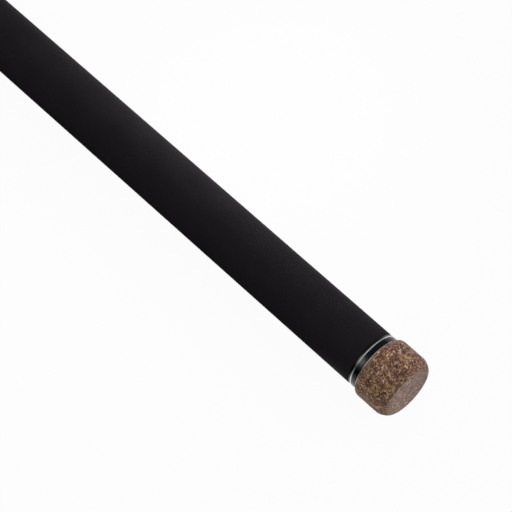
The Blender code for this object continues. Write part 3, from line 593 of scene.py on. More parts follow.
# A winding check: a band between its rear and front radius. Its rear bevel is bare metal, and so is a
# groove cut near the front, or on the tapered fore check the front bevel.
def buildCheck(name, node, frontRadius=None, bore=checkLook["bore"]):
    look = checkLook
    start, end, radius = stations(node)
    width, depth = look["edgeWidth"], look["edgeDepth"]
    slope = [[width, -look["slopeDepth"]], [look["slopeEnd"], 0.0]]
    bevel = np.array([[0.0, -depth], [0.25 * width, -0.5 * depth], *slope])
    if frontRadius:
        front = bevel[::-1] * [-0.6, 1] + [end, frontRadius]
        brightRows = (1, 2, 6, 7)
    else:
        groove = np.array([[-0.5, 0.0], [-0.44, -1.0], [0.5, 0.0]])
        groove = groove * [look["lineWidth"], look["lineDepth"]]
        groove -= [look["lineFromFront"] + look["lineWidth"] / 2, 0.0]
        corner = look["frontEdge"] * np.array([[-1.0, 0.0], [-0.3, -0.3], [0.0, -1.0]])
        front = np.vstack([groove, corner]) + [end, radius]
        brightRows = (1, 2, 5, 6)
    profile = np.vstack([[[start, bore]], bevel + [start, radius], front, [[end, bore]]])
    mesh = gridMesh(turnedPoints(profile, look["sides"]), sharp=25.0)
    addPiece(node, mesh, "glossCheck", "butt_section", name)
    mesh.materials.append(bpy.data.materials["brightEdge"])
    row = np.arange(len(mesh.polygons)) // look["sides"]
    mesh.polygons.foreach_set("material_index", np.isin(row, brightRows).astype(np.int32))


# The fore grip's nose: its radius, its length and its bore in front
gripLook = {
    "rounding": 0.7 * mm,
    "bore": 6.8 * mm,
    "foreNose": (9.2 * mm, 52.0 * mm, 5.95 * mm),
    "noseEase": 1.15,
    "sides": 160,
}


# Foam sleeve: straight, or easing down to a nose by a power of the distance, with rounded edges
def buildGrip(name, node, noseRadius=None, noseLength=0.0, frontBore=gripLook["bore"]):
    look = gripLook
    start, end, radius = stations(node)
    edge = look["rounding"]
    nose = noseRadius or radius
    rear, front = roundedEnds(start, end, radius, nose, edge, 9)
    side = run((start + edge, radius), (end - edge, nose), 160)
    noseStart = end - noseLength
    share = unit((side[:, 0] - noseStart) / (end - edge - noseStart))
    side[:, 1] = radius + (nose - radius) * share ** look["noseEase"]
    profile = np.vstack([rear, side[1:-1], front, [[end, frontBore], [start, look["bore"]]]])
    mesh = gridMesh(turnedPoints(profile, look["sides"]))
    addPiece(node, mesh, "gripFoam", "butt_section", name)


seatLook = {
    "bore": 7.6 * mm,
    "land": 8.6 * mm,
    "saddleDepth": 0.3 * mm,
    "saddleMargin": 1.5 * mm,
    "threadPitch": 2.0 * mm,
    "threadDepth": 0.55 * mm,
    "threadRun": 36.0 * mm,
    "crestShare": 0.3,
    "flankShare": 0.4,
    "chamfer": 0.5 * mm,
    "step": 0.02 * mm,
    "sides": 192,
}


# Depth of the thread's valley for each station and angle, from 0 on a crest to 1 at the root: it
# repeats with (distance / pitch + angle / turn), which makes the thread right-handed.
def threadValley(along, angle):
    place = along / seatLook["threadPitch"] + angle / (2 * np.pi)
    fromCrest = np.abs(place % 1.0 - 0.5) * 2.0
    return unit((fromCrest - seatLook["crestShare"]) / seatLook["flankShare"])


# The barrel is round with a thread near its front end, and its reel's side is cut flat: no point stands
# higher than the land, or than the saddle between the hoods.
def buildSeat():
    look = seatLook
    start, end, radius = stations("reel_seat")
    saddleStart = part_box("fixed_hood")[1][0] + look["saddleMargin"]
    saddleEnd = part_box("moving_hood")[0][0] - look["saddleMargin"]
    threadStart = end - look["threadRun"]
    chamfer, step = look["chamfer"], look["step"]
    stretches = (
        (start, start + chamfer, 4),
        (start + 1.5 * mm, saddleStart - step, 16),
        (saddleStart, saddleEnd, 40),
        (saddleEnd + step, threadStart - step, 4),
        (threadStart, end - chamfer, 300),
        (end - 0.5 * chamfer, end, 2),
    )
    along = np.unique(np.concatenate([np.linspace(*stretch) for stretch in stretches]))[:, None]
    angle = around(look["sides"])[None, :]
    fade = unit((along - threadStart) / look["threadPitch"])
    outside = radius - look["threadDepth"] * fade * threadValley(along, angle)
    fromEnd = np.minimum(along - start, end - along)
    outside = np.minimum(outside, radius - np.clip(chamfer - fromEnd, 0.0, None))
    onSaddle = (along > saddleStart - 0.5 * step) & (along < saddleEnd + 0.5 * step)
    limit = flatRadius(look["land"] - look["saddleDepth"] * onSaddle, angle, 1.0)
    bore = np.full((2, look["sides"]), look["bore"])
    radii = np.vstack([np.minimum(outside, limit), bore])
    along = np.vstack([along, [[end], [start]]])
    mesh = gridMesh(roundPoints(along, radii, angle), sharp=30.0)
    addPiece("reel_seat", mesh, "seatMoulding", "butt_section", "seatBarrel")


hoodLook = {
    "clearance": 0.3 * mm,
    "wall": 1.4 * mm,
    "lip": 0.42 * mm,
    "pocketDepth": 15.0 * mm,
    "pocketHeight": 6.0 * mm,
    "halfAngle": math.radians(27.0),
    "blendAngle": math.radians(30.0),
    "overrun": 3.0 * mm,
    "sides": 176,
}


# A hood in its own frame, mouth at 0: its bore follows the barrel's flat, and a pocket for the reel's
# foot rises over it by a quarter ellipse along the rod times an easing cosine round it.
def hoodPoints(length, barrelRadius):
    look = hoodLook
    angle = around(look["sides"])[None, :]
    share = unit((awayFromGuides(angle) - look["halfAngle"]) / look["blendAngle"])
    bulge = 0.5 + 0.5 * np.cos(np.pi * share)
    land, lip = seatLook["land"], look["lip"]
    bore = np.minimum(barrelRadius, flatRadius(land, angle, barrelRadius)) + look["clearance"]
    ceiling = land + look["pocketHeight"]
    collar = barrelRadius + look["clearance"] + look["wall"]
    pocket = look["pocketDepth"] * np.sin(np.linspace(0.0, np.pi / 2, 26))
    inside = np.concatenate([pocket, [length - lip, length]])[:, None]
    lift = np.sqrt(np.clip(1.0 - (inside / look["pocketDepth"]) ** 2, 0.0, None))
    insideRadius = bore + (ceiling - bore) * lift * bulge
    reach = look["pocketDepth"] + look["overrun"]
    turn = np.linspace(np.pi / 2, 0.0, 7)
    shell = reach * np.sin(np.linspace(np.pi / 2, np.arcsin(lip / reach), 34))
    rearLip, frontLip = length - lip + lip * np.sin(turn), lip - lip * np.sin(turn[::-1])
    outside = np.concatenate([rearLip, shell, frontLip[1:]])[:, None]
    trim = lip - lip * np.concatenate([np.cos(turn), np.ones(34), np.cos(turn[::-1][1:])])[:, None]
    lift = np.sqrt(np.clip(1.0 - (np.minimum(outside, reach) / reach) ** 2, 0.0, None))
    outsideRadius = collar - trim + (ceiling + look["wall"] - collar) * lift * bulge
    return np.vstack([inside, outside]), np.vstack([insideRadius, outsideRadius]), angle


# The fixed hood's mouth faces the tip and the moving hood's faces the butt.
def buildHoods():
    start, end = stations("fixed_hood")[:2]
    along, radii, angle = hoodPoints(end - start, stations("reel_seat")[2])
    movingMouth = stations("moving_hood")[0]
    for node, body, place in (
        ("fixed_hood", "butt_section", end - along),
        ("moving_hood", "sliding_hood", movingMouth + along),
    ):
        mesh = gridMesh(roundPoints(place, radii, angle), sharp=40.0)
        addPiece(node, mesh, "anodisedHood", body)


nutLook = {
    "radius": 12.8 * mm,
    "clearance": 0.3 * mm,
    "threadGap": 0.12 * mm,
    "ridgeStart": 0.4,
    "ridgeFade": 0.6 * mm,
    "chamfer": 0.9 * mm,
    "flutes": 14,
    "fluteDepth": 0.7 * mm,
    "grooveDepth": 0.85 * mm,
    "grooveFromEnd": 2.4 * mm,
    "grooveHalfWidth": 0.36 * mm,
    "sides": 280,
}


# The nut's outside is scalloped by a cosine round the rod, with a rounded edge and a turned groove near
# each end. Its bore carries a ridge that runs in the barrel's valley, with a small gap all round.
def buildNut():
    look = nutLook
    start, end = stations("lock_nut")[:2]
    chamfer = look["chamfer"]
    angle = around(look["sides"])[None, :]
    edge = chamfer * np.linspace(0.0, 1.0, 8) ** 1.6
    middle = np.linspace(end - chamfer, start + chamfer, 110)[1:-1]
    outer = np.concatenate([end - edge, middle, (start + edge)[::-1]])[:, None]
    fromEnd = np.minimum(outer - start, end - outer)
    share = 1.0 - unit(fromEnd / chamfer)
    trim = chamfer * (1.0 - np.sqrt(1.0 - share**2))
    fromGroove = (fromEnd - look["grooveFromEnd"]) / look["grooveHalfWidth"]
    groove = look["grooveDepth"] * np.exp(-(fromGroove**4))
    scallop = look["fluteDepth"] * (0.5 - 0.5 * np.cos(look["flutes"] * angle))
    outside = look["radius"] - trim - np.maximum(scallop, groove)
    bore = np.linspace(start, end, 110)[:, None]
    nearEnd = unit(np.minimum(bore - start, end - bore) / look["ridgeFade"])
    ridge = unit((threadValley(bore, angle) - look["ridgeStart"]) / (1 - look["ridgeStart"])) * nearEnd
    depth = seatLook["threadDepth"] + look["clearance"] - look["threadGap"]
    inside = stations("reel_seat")[2] + look["clearance"] - depth * ridge
    points = roundPoints(np.vstack([outer, bore]), np.vstack([outside, inside]), angle)
    addPiece("lock_nut", gridMesh(points, sharp=32.0), "anodisedHood", "turning_nut")


# Each blank: its radius and wall at the top, where a wall as thick as the radius makes it solid, and its
# socket's radius at the mouth and at the end, and depth
blankLook = {
    "butt_blank": {"top": 4.5 * mm, "wall": 1.1 * mm},
    "middle_blank": {"top": 2.6 * mm, "wall": 0.7 * mm, "socket": (4.786 * mm, 4.65 * mm, 90.3 * mm)},
    "tip_blank": {"top": 0.75 * mm, "wall": 0.75 * mm, "socket": (2.91 * mm, 2.75 * mm, 70.3 * mm)},
}


# The body that a blank and all that is bound to it belong to
def bodyOf(blank):
    return blank.replace("blank", "section")


# A blank's radius at a station: it falls evenly from its base to its top.
def blankRadius(node, station):
    start, end, base = stations(node)
    return base + (blankLook[node]["top"] - base) * (station - start) / (end - start)


# Tapered tube: up its outside, with softened ends, and back down its bore and socket
def buildBlanks():
    soft, rows, sides = 0.15 * mm, 220, 64
    for node, look in blankLook.items():
        start, end, base = stations(node)
        top, wall = look["top"], look["wall"]
        rear, front = roundedEnds(start, end, base, top, soft, 5)
        outside = run((start + soft, base), (end - soft, top), rows)
        inside = [[start, base - wall]]
        if "socket" in look:
            mouthRadius, endRadius, depth = look["socket"]
            inside = [[start + depth, endRadius], [start, mouthRadius]]
        solid = wall >= top
        if solid:
            inside = [[inside[0][0], 0.0]] + inside
        profile = np.vstack([inside, rear, outside[1:-1], front, [[end, top - wall]]])
        mesh = gridMesh(turnedPoints(profile, sides), wrapRows=not solid)
        addPiece(node, mesh, "carbonBlank", bodyOf(node))


whippingLook = {
    "clearance": 0.15 * mm,
    "thickness": 0.35 * mm,
    "thinnest": 0.01 * mm,
    "threadWidth": 0.2 * mm,
    "threadRelief": 0.022 * mm,
    "featherTurns": 2.5,
    "samplesPerTurn": 5,
    "trimTurns": 4,
    "footTrim": -10,
    "sides": 56,
}


# Rows of a whipping: distance, thickness and trim band. Each thread is a half cosine across its width,
# and the varnish feathers both ends down by a quarter circle. Trims start at the given turns, where a
# negative number counts from the end.
def whippingRows(length, trims):
    look = whippingLook
    turns = int(round(length / look["threadWidth"]))
    turn = np.linspace(0.0, turns, turns * look["samplesPerTurn"] + 1)
    relief = look["threadRelief"] * (1.0 - np.abs(np.cos(np.pi * turn)))
    feather = unit(np.minimum(turn, turns - turn) / look["featherTurns"])
    full = look["thickness"] - look["thinnest"] - relief
    thickness = look["thinnest"] + full * np.sqrt(feather * (2 - feather))
    band = np.zeros(len(turn))
    for first in trims:
        first = first % turns
        band[(turn >= first) & (turn <= first + look["trimTurns"])] = 1.0
    return (turn / turns * length)[:, None], thickness[:, None], band


# Rows run up the outside and come back along the inside, and each row's band value goes with them.
def addWhipping(node, blank, along, outer, inner, band):
    angle = around(whippingLook["sides"])[None, :]
    back = np.linspace(len(along) - 1, 0, 8).astype(int)
    rows = np.vstack([along, along[back]])
    mesh = gridMesh(roundPoints(rows, np.vstack([outer, inner[back]]), angle), sharp=60.0)
    setAttribute(mesh, "band", np.interp(meshPoints(mesh)[:, 0], along[:, 0], band))
    addPiece(node, mesh, "wrappedThread", bodyOf(blank))


# Thread round a bare blank
def buildPlainWhipping(node, blank, trims):
    start, end = stations(node)[:2]
    offset, thickness, band = whippingRows(end - start, trims)
    along = start + offset
    inner = blankRadius(blank, along) + whippingLook["clearance"] + np.zeros((1, whippingLook["sides"]))
    addWhipping(node, blank, along, inner + thickness, inner, band)


# A band pulled tight round a core and a flat foot on it: level over the foot, straight from the foot's
# corner to where it touches the core, and round on the core.
def wrapRadius(angle, core, halfWidth, top):
    away = awayFromGuides(angle)
    corner = np.arctan2(halfWidth, top)
    touch = corner + np.arccos(np.minimum(1.0, core / np.hypot(halfWidth, top)))
    over = np.maximum(core, top / np.cos(np.minimum(away, 1.2)))
    slope = np.maximum(core, core / np.cos(np.clip(touch - away, 0.0, 1.2)))
    return np.where(away <= corner, over, np.where(away < touch, slope, core))


# Thread over a foot and past its end. The foot is (length, half width, thickness) from its station.
def buildFootWhipping(node, blank, station, foot):
    footEnd, halfWidth, thickness = foot
    clearance = whippingLook["clearance"]
    start, end = stations(node)[:2]
    offset, thick, band = whippingRows(end - start, [whippingLook["footTrim"]])
    along = start + offset
    angle = around(whippingLook["sides"])[None, :]
    core = blankRadius(blank, along) + clearance
    lift = blankRadius(blank, station) + clearance
    toe = station + footEnd + clearance
    full, thin = thickness + clearance, guideLook["footTip"] + clearance
    onFoot = full + (thin - full) * (along - start) / (toe - start)
    rise = np.where(along < toe, onFoot, thin * (end - along) / (end - toe))
    overFoot = np.maximum(core, lift + rise)
    half = halfWidth + clearance
    inner = wrapRadius(angle, core, half, overFoot)
    outer = wrapRadius(angle, core + thick, half + thick, overFoot + thick)
    addWhipping(node, blank, along, outer, inner, band)


# Guides: a pair is a fixed size and a share of the ring's diameter, added together. The legs and the sill
# have a share of the plate's thickness, so that no two faces lie in one plane.
guideLook = {
    "risePerRing": 1.75,
    "riseOffset": 1.5 * mm,
    "lean": math.radians(8.0),
    "clearance": 0.15 * mm,
    "plate": (0.6 * mm, 0.02),
    "hoopWall": (0.35 * mm, 0.035),
    "legWidth": (0.7 * mm, 0.055),
    "ankle": (0.95 * mm, 0.075),
    "footLength": (5.0 * mm, 0.45),
    "ringSection": (0.25 * mm, 0.10),
    "ringWidth": (1.2 * mm, 0.05),
    "sill": 2.2 * mm,
    "leastWindow": 1.0 * mm,
    "footSide": 0.2 * mm,
    "footTip": 0.3 * mm,
    "footTipShare": 0.6,
    "toeStart": 0.86,
    "legShare": 0.97,
    "sillShare": 0.94,
    "sides": 72,
}


def grown(key, diameter):
    fixed, share = guideLook[key]
    return fixed + share * diameter


# Turns a leaning frame's own directions (through the plate, across, up) into the rod's.
def leaningPoints(through, across, up, station, height, lean):
    along = station + through * math.cos(lean) + up * math.sin(lean)
    return layDown(along, across, height - through * math.sin(lean) + up * math.cos(lean))


# A turned ring stood up across the rod: (through, radius) points turned about the plate's own axis
def ringPoints(profile, station, height, lean):
    angle = around(guideLook["sides"])
    across, up = profile[:, 1:] * np.cos(angle), profile[:, 1:] * np.sin(angle)
    return leaningPoints(profile[:, :1], across, up, station, height, lean)


# The ceramic ring: flat where it sits in its hoop, and half an ellipse where the line runs
def buildRing(node, diameter, ringPlace, body):
    section = grown("ringSection", diameter)
    half = grown("ringWidth", diameter) / 2
    outside = diameter / 2
    inner = arc(0.0, outside - 0.4 * section, half, 0.6 * section, 0.0, -np.pi, 21, 2.2)
    outer = np.array([[-0.75 * half, outside - 0.08 * section], [-0.6 * half, outside]])
    profile = np.vstack([inner, outer, outer[::-1] * [-1, 1]])
    addPiece(node, gridMesh(ringPoints(profile, *ringPlace), sharp=30.0), "ceramicRing", body)


# Unites closed shells into a single solid, all at once.
def united(meshes):
    holders = [bpy.data.objects.new(f"part{number}", mesh) for number, mesh in enumerate(meshes)]
    others = bpy.data.collections.new("parts")
    bpy.context.scene.collection.objects.link(holders[0])
    for holder in holders[1:]:
        others.objects.link(holder)
    boolean = holders[0].modifiers.new("union", "BOOLEAN")
    boolean.operation = "UNION"
    boolean.solver = "EXACT"
    boolean.operand_type = "COLLECTION"
    boolean.collection = others
    graph = bpy.context.evaluated_depsgraph_get()
    result = bpy.data.meshes.new_from_object(holders[0].evaluated_get(graph))
    for holder, mesh in zip(holders, meshes):
        bpy.data.objects.remove(holder)
        bpy.data.meshes.remove(mesh)
    bpy.data.collections.remove(others)
    result.shade_smooth()
    result.set_sharp_from_angle(angle=math.radians(38.0))
    return result


# Closes a swept bar: each end row is followed by a smaller row and by its centre.
def capped(points):
    centre = points.mean(axis=1, keepdims=True) + np.zeros_like(points)
    smaller = (points + centre) / 2
    return np.vstack([centre[:1], smaller[:1], points, smaller[-1:], centre[-1:]])


# A bar of the leaning plate between two (across, up) points: its rounded section is carried along the
# line, and its width changes evenly.
def barMesh(start, end, startWidth, endWidth, thickness, framePlace):
    start, end = np.array(start), np.array(end)
    share = np.linspace(0.0, 1.0, 14)[:, None]
    path = start + (end - start) * share
    direction = (end - start) / np.linalg.norm(end - start)
    across, through = roundedBox(0.5, thickness / 2, 20)
    reach = (startWidth + (endWidth - startWidth) * share) * across
    onPlate = path[:, None] + reach[..., None] * np.array([-direction[1], direction[0]])
    points = leaningPoints(through[None, :], onPlate[..., 0], onPlate[..., 1], *framePlace)
    return gridMesh(capped(points), wrapRows=False)


# A frame and its ring. The frame has a hoop, two legs, which leave the ankle and meet the hoop on its
# tangents, and a sill that joins them over the foot. Small frames have no window, so their sill reaches
# the hoop. A tube or a foot is joined to them before or after.
def buildStand(node, body, diameter, height, ankle, framePlace, before=(), after=()):
    look = guideLook
    station, lift, lean = framePlace
    thickness = grown("plate", diameter)
    hole = diameter / 2 + 0.05 * mm
    hoop = diameter / 2 + look["clearance"] + grown("hoopWall", diameter)
    band = cutCorners(thickness / 2, hole, hoop, 0.15 * thickness)
    ringPlace = (station + height * math.sin(lean), lift + height * math.cos(lean), lean)
    meshes = [*before, gridMesh(ringPoints(band, *ringPlace))]
    leg = grown("legWidth", diameter)
    tangent = math.atan2(-height, ankle) + math.acos(hoop / math.hypot(ankle, height))
    touch = np.array([math.cos(tangent), math.sin(tangent)])
    upper = np.array([0.0, height]) + touch * (hoop - leg / 2)
    lower = np.array([ankle, 0.1 * mm]) - touch * leg / 2
    for side in ((1, 1), (-1, 1)):
        meshes.append(barMesh(lower * side, upper * side, leg, leg, look["legShare"] * thickness, framePlace))
    hasWindow = height - hoop - look["sill"] > look["leastWindow"]
    sill = look["sill"] if hasWindow else height - 0.9 * hoop
    spread = (touch[0] * hoop - ankle) / (height + touch[1] * hoop)
    widths = (2 * ankle - 0.1 * mm, 2 * (ankle + spread * sill) - 0.1 * mm)
    meshes.append(barMesh((0.0, 0.05 * mm), (0.0, sill), *widths, look["sillShare"] * thickness, framePlace))
    addPiece(node + "_frame", united([*meshes, *after]), "platedFrame", body)
    buildRing(node + "_ring", diameter, ringPlace, body)


# The foot: a tongue along the blank, thinned and narrowed evenly towards its end, with a round toe
def footMesh(station, lift, start, end, halfWidth, thickness):
    look = guideLook
    share = np.linspace(0.0, 1.0, 36)[:, None]
    narrow = 1.0 - (1.0 - look["footTipShare"]) * share
    onToe = unit((share - look["toeStart"]) / (1 - look["toeStart"]))
    toe = np.sqrt(np.clip(1.0 - onToe**2, 0.02, 1.0))
    height = thickness + (look["footTip"] - thickness) * unit(share * 1.15)
    across, rise = roundedBox(1.0, 0.5, 24)
    along = station + start + (end - start) * share
    points = layDown(along, halfWidth * narrow * toe * across, lift + height * (0.5 + rise))
    return gridMesh(capped(points), wrapRows=False)


# A guide leans back from its ring, whose place and size are its node's, down to its foot on the blank.
def buildGuide(number, blank):
    look = guideLook
    node = f"guide_{number}"
    low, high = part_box(node + "_ring")
    diameter = high[2] - low[2]
    height = look["risePerRing"] * diameter - look["riseOffset"]
    thickness, ankle = grown("plate", diameter), grown("ankle", diameter)
    lean = look["lean"]
    station = (low[0] + high[0]) / 2 - height * math.sin(lean)
    lift = blankRadius(blank, station) + look["clearance"]
    foot = (grown("footLength", diameter), ankle - look["footSide"], thickness)
    tongue = footMesh(station, lift, -thickness / 4, *foot)
    buildStand(node, bodyOf(blank), diameter, height, ankle, (station, lift, lean), after=[tongue])
    buildFootWhipping(node + "_whipping", blank, station, foot)


tipTopLook = {
    "rise": 3.6 * mm,
    "lean": math.radians(24.0),
    "tubeLength": 9.0 * mm,
    "tubeWall": 0.45 * mm,
    "noseGap": 0.3 * mm,
    "rearEdge": 0.2 * mm,
}


# The tip top: a tube with a round nose on the blank's end, and a leaning hoop that stands on it
def buildTipTop():
    look = tipTopLook
    low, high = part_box("tip_top_ring")
    diameter, wall = high[2] - low[2], look["tubeWall"]
    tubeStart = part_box("tip_top_frame")[0][0]
    tipEnd = tubeStart + look["tubeLength"]
    bore = blankRadius("tip_blank", tubeStart) + guideLook["clearance"]
    outside, floor = bore + wall, tipEnd + look["noseGap"]
    soft = look["rearEdge"]
    profile = np.vstack(
        [
            [[floor, 0.0], [floor, bore], [tubeStart, bore]],
            arc(tubeStart + soft, outside - soft, soft, soft, np.pi, np.pi / 2, 5),
            arc(floor, outside - wall, wall, wall, np.pi / 2, 0.0, 8),
            [[floor + wall, 0.0]],
        ]
    )
    root = bore + wall / 2
    ankle = math.sqrt(outside**2 - root**2) - grown("plate", diameter) / 4
    tube = gridMesh(turnedPoints(profile, 40), wrapRows=False)
    place = (tipEnd, root, look["lean"])
    buildStand("tip_top", "tip_section", diameter, look["rise"], ankle, place, before=[tube])


# The foot is (length, half width, thickness), as a guide's is.
keeperLook = {
    "wire": 0.5 * mm,
    "fit": 0.3 * mm,
    "barrelLength": 4.0 * mm,
    "barrelWall": 0.65 * mm,
    "barrelEdge": 0.15 * mm,
    "foot": (9.0 * mm, 1.3 * mm, 0.7 * mm),
    "halfWidth": 3.5 * mm,
    "corner": 1.0 * mm,
    "shank": 2.0 * mm,
}


# The hook keeper's barrel on its foot, turned about the hinge: (across, radius) points
def buildKeeperBracket(station, height):
    look = keeperLook
    bore = look["wire"] + look["fit"]
    outside = bore + look["barrelWall"]
    profile = cutCorners(look["barrelLength"] / 2, bore, outside, look["barrelEdge"])
    angle = around(40)
    along, up = profile[:, 1:] * np.cos(angle), profile[:, 1:] * np.sin(angle)
    barrel = gridMesh(layDown(station + along, profile[:, :1], height + up))
    lift = blankRadius("butt_blank", station) + guideLook["clearance"]
    foot = footMesh(station, lift, -outside / 2, *look["foot"])
    addPiece("keeper_bracket", united([barrel, foot]), "platedFrame", "butt_section")
    buildFootWhipping("keeper_whipping", "butt_blank", station, look["foot"])


# The hook keeper's loop: a round section carried along the hinge bar, two rounded corners, two shanks
# and a half circle.
def buildKeeperLoop(station, height):
    look = keeperLook
    width, corner = look["halfWidth"], look["corner"]
    path = np.vstack(
        [
            run((0.0, corner - width), (0.0, width - corner), 8)[1:-1],
            arc(-corner, width - corner, corner, corner, 0.0, np.pi / 2, 8),
            arc(-corner - look["shank"], 0.0, width, width, np.pi / 2, 3 * np.pi / 2, 40),
            arc(-corner, corner - width, corner, corner, -np.pi / 2, 0.0, 8),
        ]
    )
    tangent = np.roll(path, -1, axis=0) - np.roll(path, 1, axis=0)
    tangent /= np.linalg.norm(tangent, axis=1, keepdims=True)
    angle = around(16)
    reach = look["wire"] * np.cos(angle)
    along = station + path[:, :1] - tangent[:, 1:] * reach
    across = path[:, 1:] + tangent[:, :1] * reach
    points = layDown(along, across, height + look["wire"] * np.sin(angle))
    addPiece("keeper_ring", gridMesh(points), "platedFrame", "keeper_loop", "keeperLoop")


# The camera stands where a fit to the photograph's ring, grip and cap outlines puts it.
cameraLook = {
    "azimuth": 226.48,
    "elevation": 56.69,
    "lens": 147.30,
    "target": (18.307 * mm, 0.0, 0.0),
    "right": -0.050802,
    "up": 0.045726,
    "back": 0.882058,
}


def buildCamera():
    look = cameraLook
    azimuth, elevation = math.radians(look["azimuth"]), math.radians(look["elevation"])
    level = math.cos(elevation)
    back = Vector((math.sin(azimuth) * level, -math.cos(azimuth) * level, math.sin(elevation)))
    right = Vector((math.cos(azimuth), math.sin(azimuth), 0.0))
    up = back.cross(right)
    camera = addObject("camera", bpy.data.cameras.new("camera"))
    turn = Matrix((right, up, back)).transposed().to_4x4()
    place = Vector(look["target"]) + look["right"] * right + look["up"] * up + look["back"] * back
    camera.matrix_world = Matrix.Translation(place) @ turn
    camera.data.lens = look["lens"]
    camera.data.sensor_width = 36.0
    camera.data.clip_start = 0.01
    camera.data.clip_end = 100.0
    bpy.context.scene.camera = camera


# Light and backdrop. Four numbers are a range: a value goes from the third to the fourth between two
# distances on the floor, or two parts of a direction in the room. Glossy surfaces see the floor with painted
# light and shade: a painted pool of light close to the rod and painted shade behind the rod past the ring;
# a room darker on the +Y side; a card low on the guides' side; the butt's side and the tip's end; and one
# soft window.
studioLook = {
    "floorHeight": -15.1 * mm,
    "floorHalfSize": 12.0,
    "floorColour": (0.50, 0.50, 0.50, 1.0),
    "floorShownWhite": 0.96,
    # Painted light and shade: the floor's glow in reflections, brightest close to the rod
    "floorPaintedGlow": (
        (-200 * mm, 0.70), (24 * mm, 0.95), (45 * mm, 0.42), (70 * mm, 0.25), (120 * mm, 0.15)
    ),
    # Painted shade on that glow, behind the rod past the ring
    "floorShadeBehind": (0.0, 15 * mm, 0.0, 1.0),
    "floorShadeAlong": (32 * mm, 50 * mm, 0.0, 0.9),
    "roomLight": (-1.0, 1.0, 0.92, 0.56),
    "room": (0.35, 0.85, 0.13, 0.03),
    "cardHeight": (0.02, 0.45, 0.60, 0.0),
    "cardSide": (-0.4, -0.85, 0.0, 1.0),
    "tipEnd": (0.6, 0.85, 0.0, 0.40),
    "buttSide": (0.05, -0.2, 0.0, 0.36),
    "buttSideUntil": (0.8, 0.95, 1.0, 0.0),
    "endsAbove": (0.0, 0.15, 0.0, 1.0),
    "windowToward": (0.398, 0.714, 0.576),
    "windowSpread": 0.20,
    "windowStrength": 2.3,
}

# Each lamp: its place, the point it is turned to, its size, power and cone
lampLook = {
    "keyLamp": ((-0.75, -0.95, 0.80), (0.0, 0.0, 0.0), 0.7, 7.3, 180.0),
    "gripLamp": ((0.16, -0.18, 0.11), (0.15, 0.0, 0.0), 0.1, 0.08, 75.0),
}


# Lamps that light the object without showing in its reflections
def buildLamps():
    for name, (place, target, size, power, cone) in lampLook.items():
        data = bpy.data.lights.new(name, "AREA")
        data.shape = "DISK"
        data.size = size
        data.energy = power
        data.spread = math.radians(cone)
        lamp = addObject(name, data)
        lamp.location = place
        lamp.rotation_euler = (Vector(target) - Vector(place)).to_track_quat("-Z", "Y").to_euler()
        lamp.visible_glossy = False
        lamp.visible_camera = False


# Whether a ray comes from the camera or through something clear, and whether it is a reflection
def rayKinds(tree):
    path = addNode(tree, "LightPath")
    shown = addMath("MAXIMUM", path.outputs["Is Camera Ray"], path.outputs["Is Transmission Ray"])
    return shown, path.outputs["Is Glossy Ray"]


# Coordinates as three sockets, and as one
def splitPlace(tree, kind):
    place = addNode(tree, "TexCoord").outputs[kind]
    split = addNode(tree, "SeparateXYZ")
    wire(place, split.inputs["Vector"])
    return [*split.outputs, place]


# A plain pale floor under the object, white to the camera. In reflections it glows with painted light and
# shade: brighter close to the rod, dimmer farther off, and painted shade behind the rod past the ring.
def buildFloor():
    look = studioLook
    half, level = look["floorHalfSize"], look["floorHeight"]
    mesh = bpy.data.meshes.new("floor")
    corners = [(-half, -half, level), (half, -half, level), (half, half, level), (-half, half, level)]
    mesh.from_pydata(corners, [], [(0, 1, 2, 3)])
    addObject("floor", mesh)
    tree = newMaterial("paleFloor", Base_Color=look["floorColour"], Roughness=0.9)
    mesh.materials.append(bpy.data.materials["paleFloor"])
    x, y = splitPlace(tree, "Object")[:2]
    # Painted light and shade: the floor's glow in reflections is brightest close to the rod.
    first, last = look["floorPaintedGlow"][0][0], look["floorPaintedGlow"][-1][0]
    across = addRange(y, first, last, 0.0, 1.0)
    stops = [((place - first) / (last - first), (value,) * 3) for place, value in look["floorPaintedGlow"]]
    # Painted shade on the reflected floor, behind the rod past the ring
    behind = addRange(y, *look["floorShadeBehind"])
    dark = addMath("MULTIPLY", behind, addRange(x, *look["floorShadeAlong"]))
    mirrored = addRamp(across, *stops)
    mirrored = addMath("MULTIPLY", mirrored, addMath("SUBTRACT", 1.0, dark))
    shown, glossy = rayKinds(tree)
    glow = addNode(tree, "Emission")
    wire(addMix(glossy, 1.0, mirrored), glow.inputs["Strength"])
    mix = addNode(tree, "MixShader")
    shown = addMath("MULTIPLY", shown, look["floorShownWhite"])
    wire(addMath("MAXIMUM", shown, glossy), mix.inputs["Fac"])
    wire(shaderOf(tree).outputs["BSDF"], mix.inputs[1])
    wire(glow.outputs["Emission"], mix.inputs[2])
    wire(mix.outputs["Shader"], tree.nodes["Material Output"].inputs["Surface"])


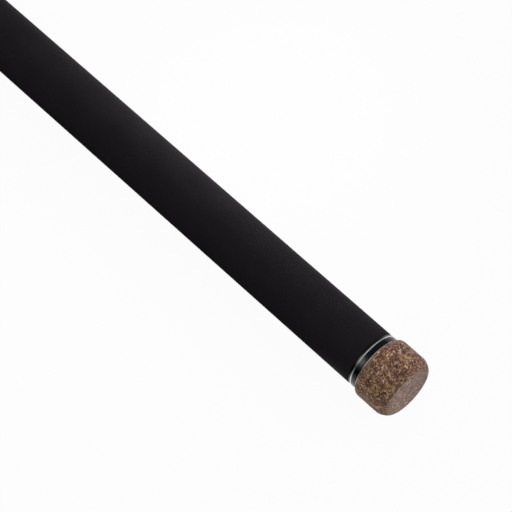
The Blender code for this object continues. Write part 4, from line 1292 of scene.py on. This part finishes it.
# The room: white to the camera and a soft light on the object, a little stronger on the guides' side.
# The window's glow falls off as the exponential of (cosine - 1) / spread squared from its middle.
def buildWorld():
    look = studioLook
    world = bpy.data.worlds.new("studio")
    bpy.context.scene.world = world
    world.use_nodes = True
    tree = world.node_tree
    background = tree.nodes["Background"]
    background.inputs["Color"].default_value = (1.0, 1.0, 1.0, 1.0)
    x, y, z, toward = splitPlace(tree, "Generated")
    room, side, light = (addRange(y, *look[key]) for key in ("room", "cardSide", "roomLight"))
    card = addMath("MULTIPLY", addRange(z, *look["cardHeight"]), side)
    tipEnd, buttSide = (addRange(x, *look[key]) for key in ("tipEnd", "buttSide"))
    buttSide = addMath("MULTIPLY", buttSide, addRange(y, *look["buttSideUntil"]))
    ends = addMath("ADD", tipEnd, buttSide)
    ends = addMath("MULTIPLY", ends, addRange(z, *look["endsAbove"]))
    cosine = addNode(tree, "VectorMath", operation="DOT_PRODUCT")
    wire(toward, cosine.inputs[0])
    wire(look["windowToward"], cosine.inputs[1])
    sharpness = look["windowSpread"] ** -2
    fall = addMath("MULTIPLY_ADD", cosine.outputs["Value"], sharpness, -sharpness)
    window = addMath("MULTIPLY", addMath("EXPONENT", fall), look["windowStrength"])
    mirrored = addMath("ADD", addMath("ADD", room, card), addMath("ADD", ends, window))
    shown, glossy = rayKinds(tree)
    strength = addMix(shown, addMix(glossy, light, mirrored), 1.0)
    wire(strength, background.inputs["Strength"])


buildCamera()
buildFloor()
buildWorld()
buildLamps()
bpy.context.scene.view_settings.view_transform = "Standard"
print("camera and studio ready")

buildButtCap()
buildCheck("buttTrimRing", "butt_check")
buildCheck("seatTrimRing", "rear_seat_check")
buildCheck("foreTrimRing", "fore_check", checkLook["foreFrontRadius"], checkLook["foreBore"])
buildGrip("foamRearGrip", "rear_grip")
buildGrip("foamForeGrip", "fore_grip", *gripLook["foreNose"])
print("cap, grips and trim rings ready")

buildSeat()
buildHoods()
buildNut()
for node in ("rear_arbor", "front_arbor"):
    frame["nodes"][node].material_slots[0].material = bpy.data.materials["arborFoam"]
print("reel seat ready")

buildBlanks()
buildPlainWhipping("middle_socket_whipping", "middle_blank", (5, -9))
buildPlainWhipping("tip_socket_whipping", "tip_blank", (5, -9))
buildPlainWhipping("tip_top_whipping", "tip_blank", (5,))
print("blanks ready")

for number in range(1, 13):
    section = "butt" if number == 1 else "middle" if number <= 5 else "tip"
    buildGuide(number, section + "_blank")
buildTipTop()
hinge = next(joint for joint in frame["joints"] if joint["name"] == "keeper_swing")["pos_m"]
buildKeeperBracket(hinge[0], -hinge[1])
buildKeeperLoop(hinge[0], -hinge[1])
print("guides, tip top and keeper ready")
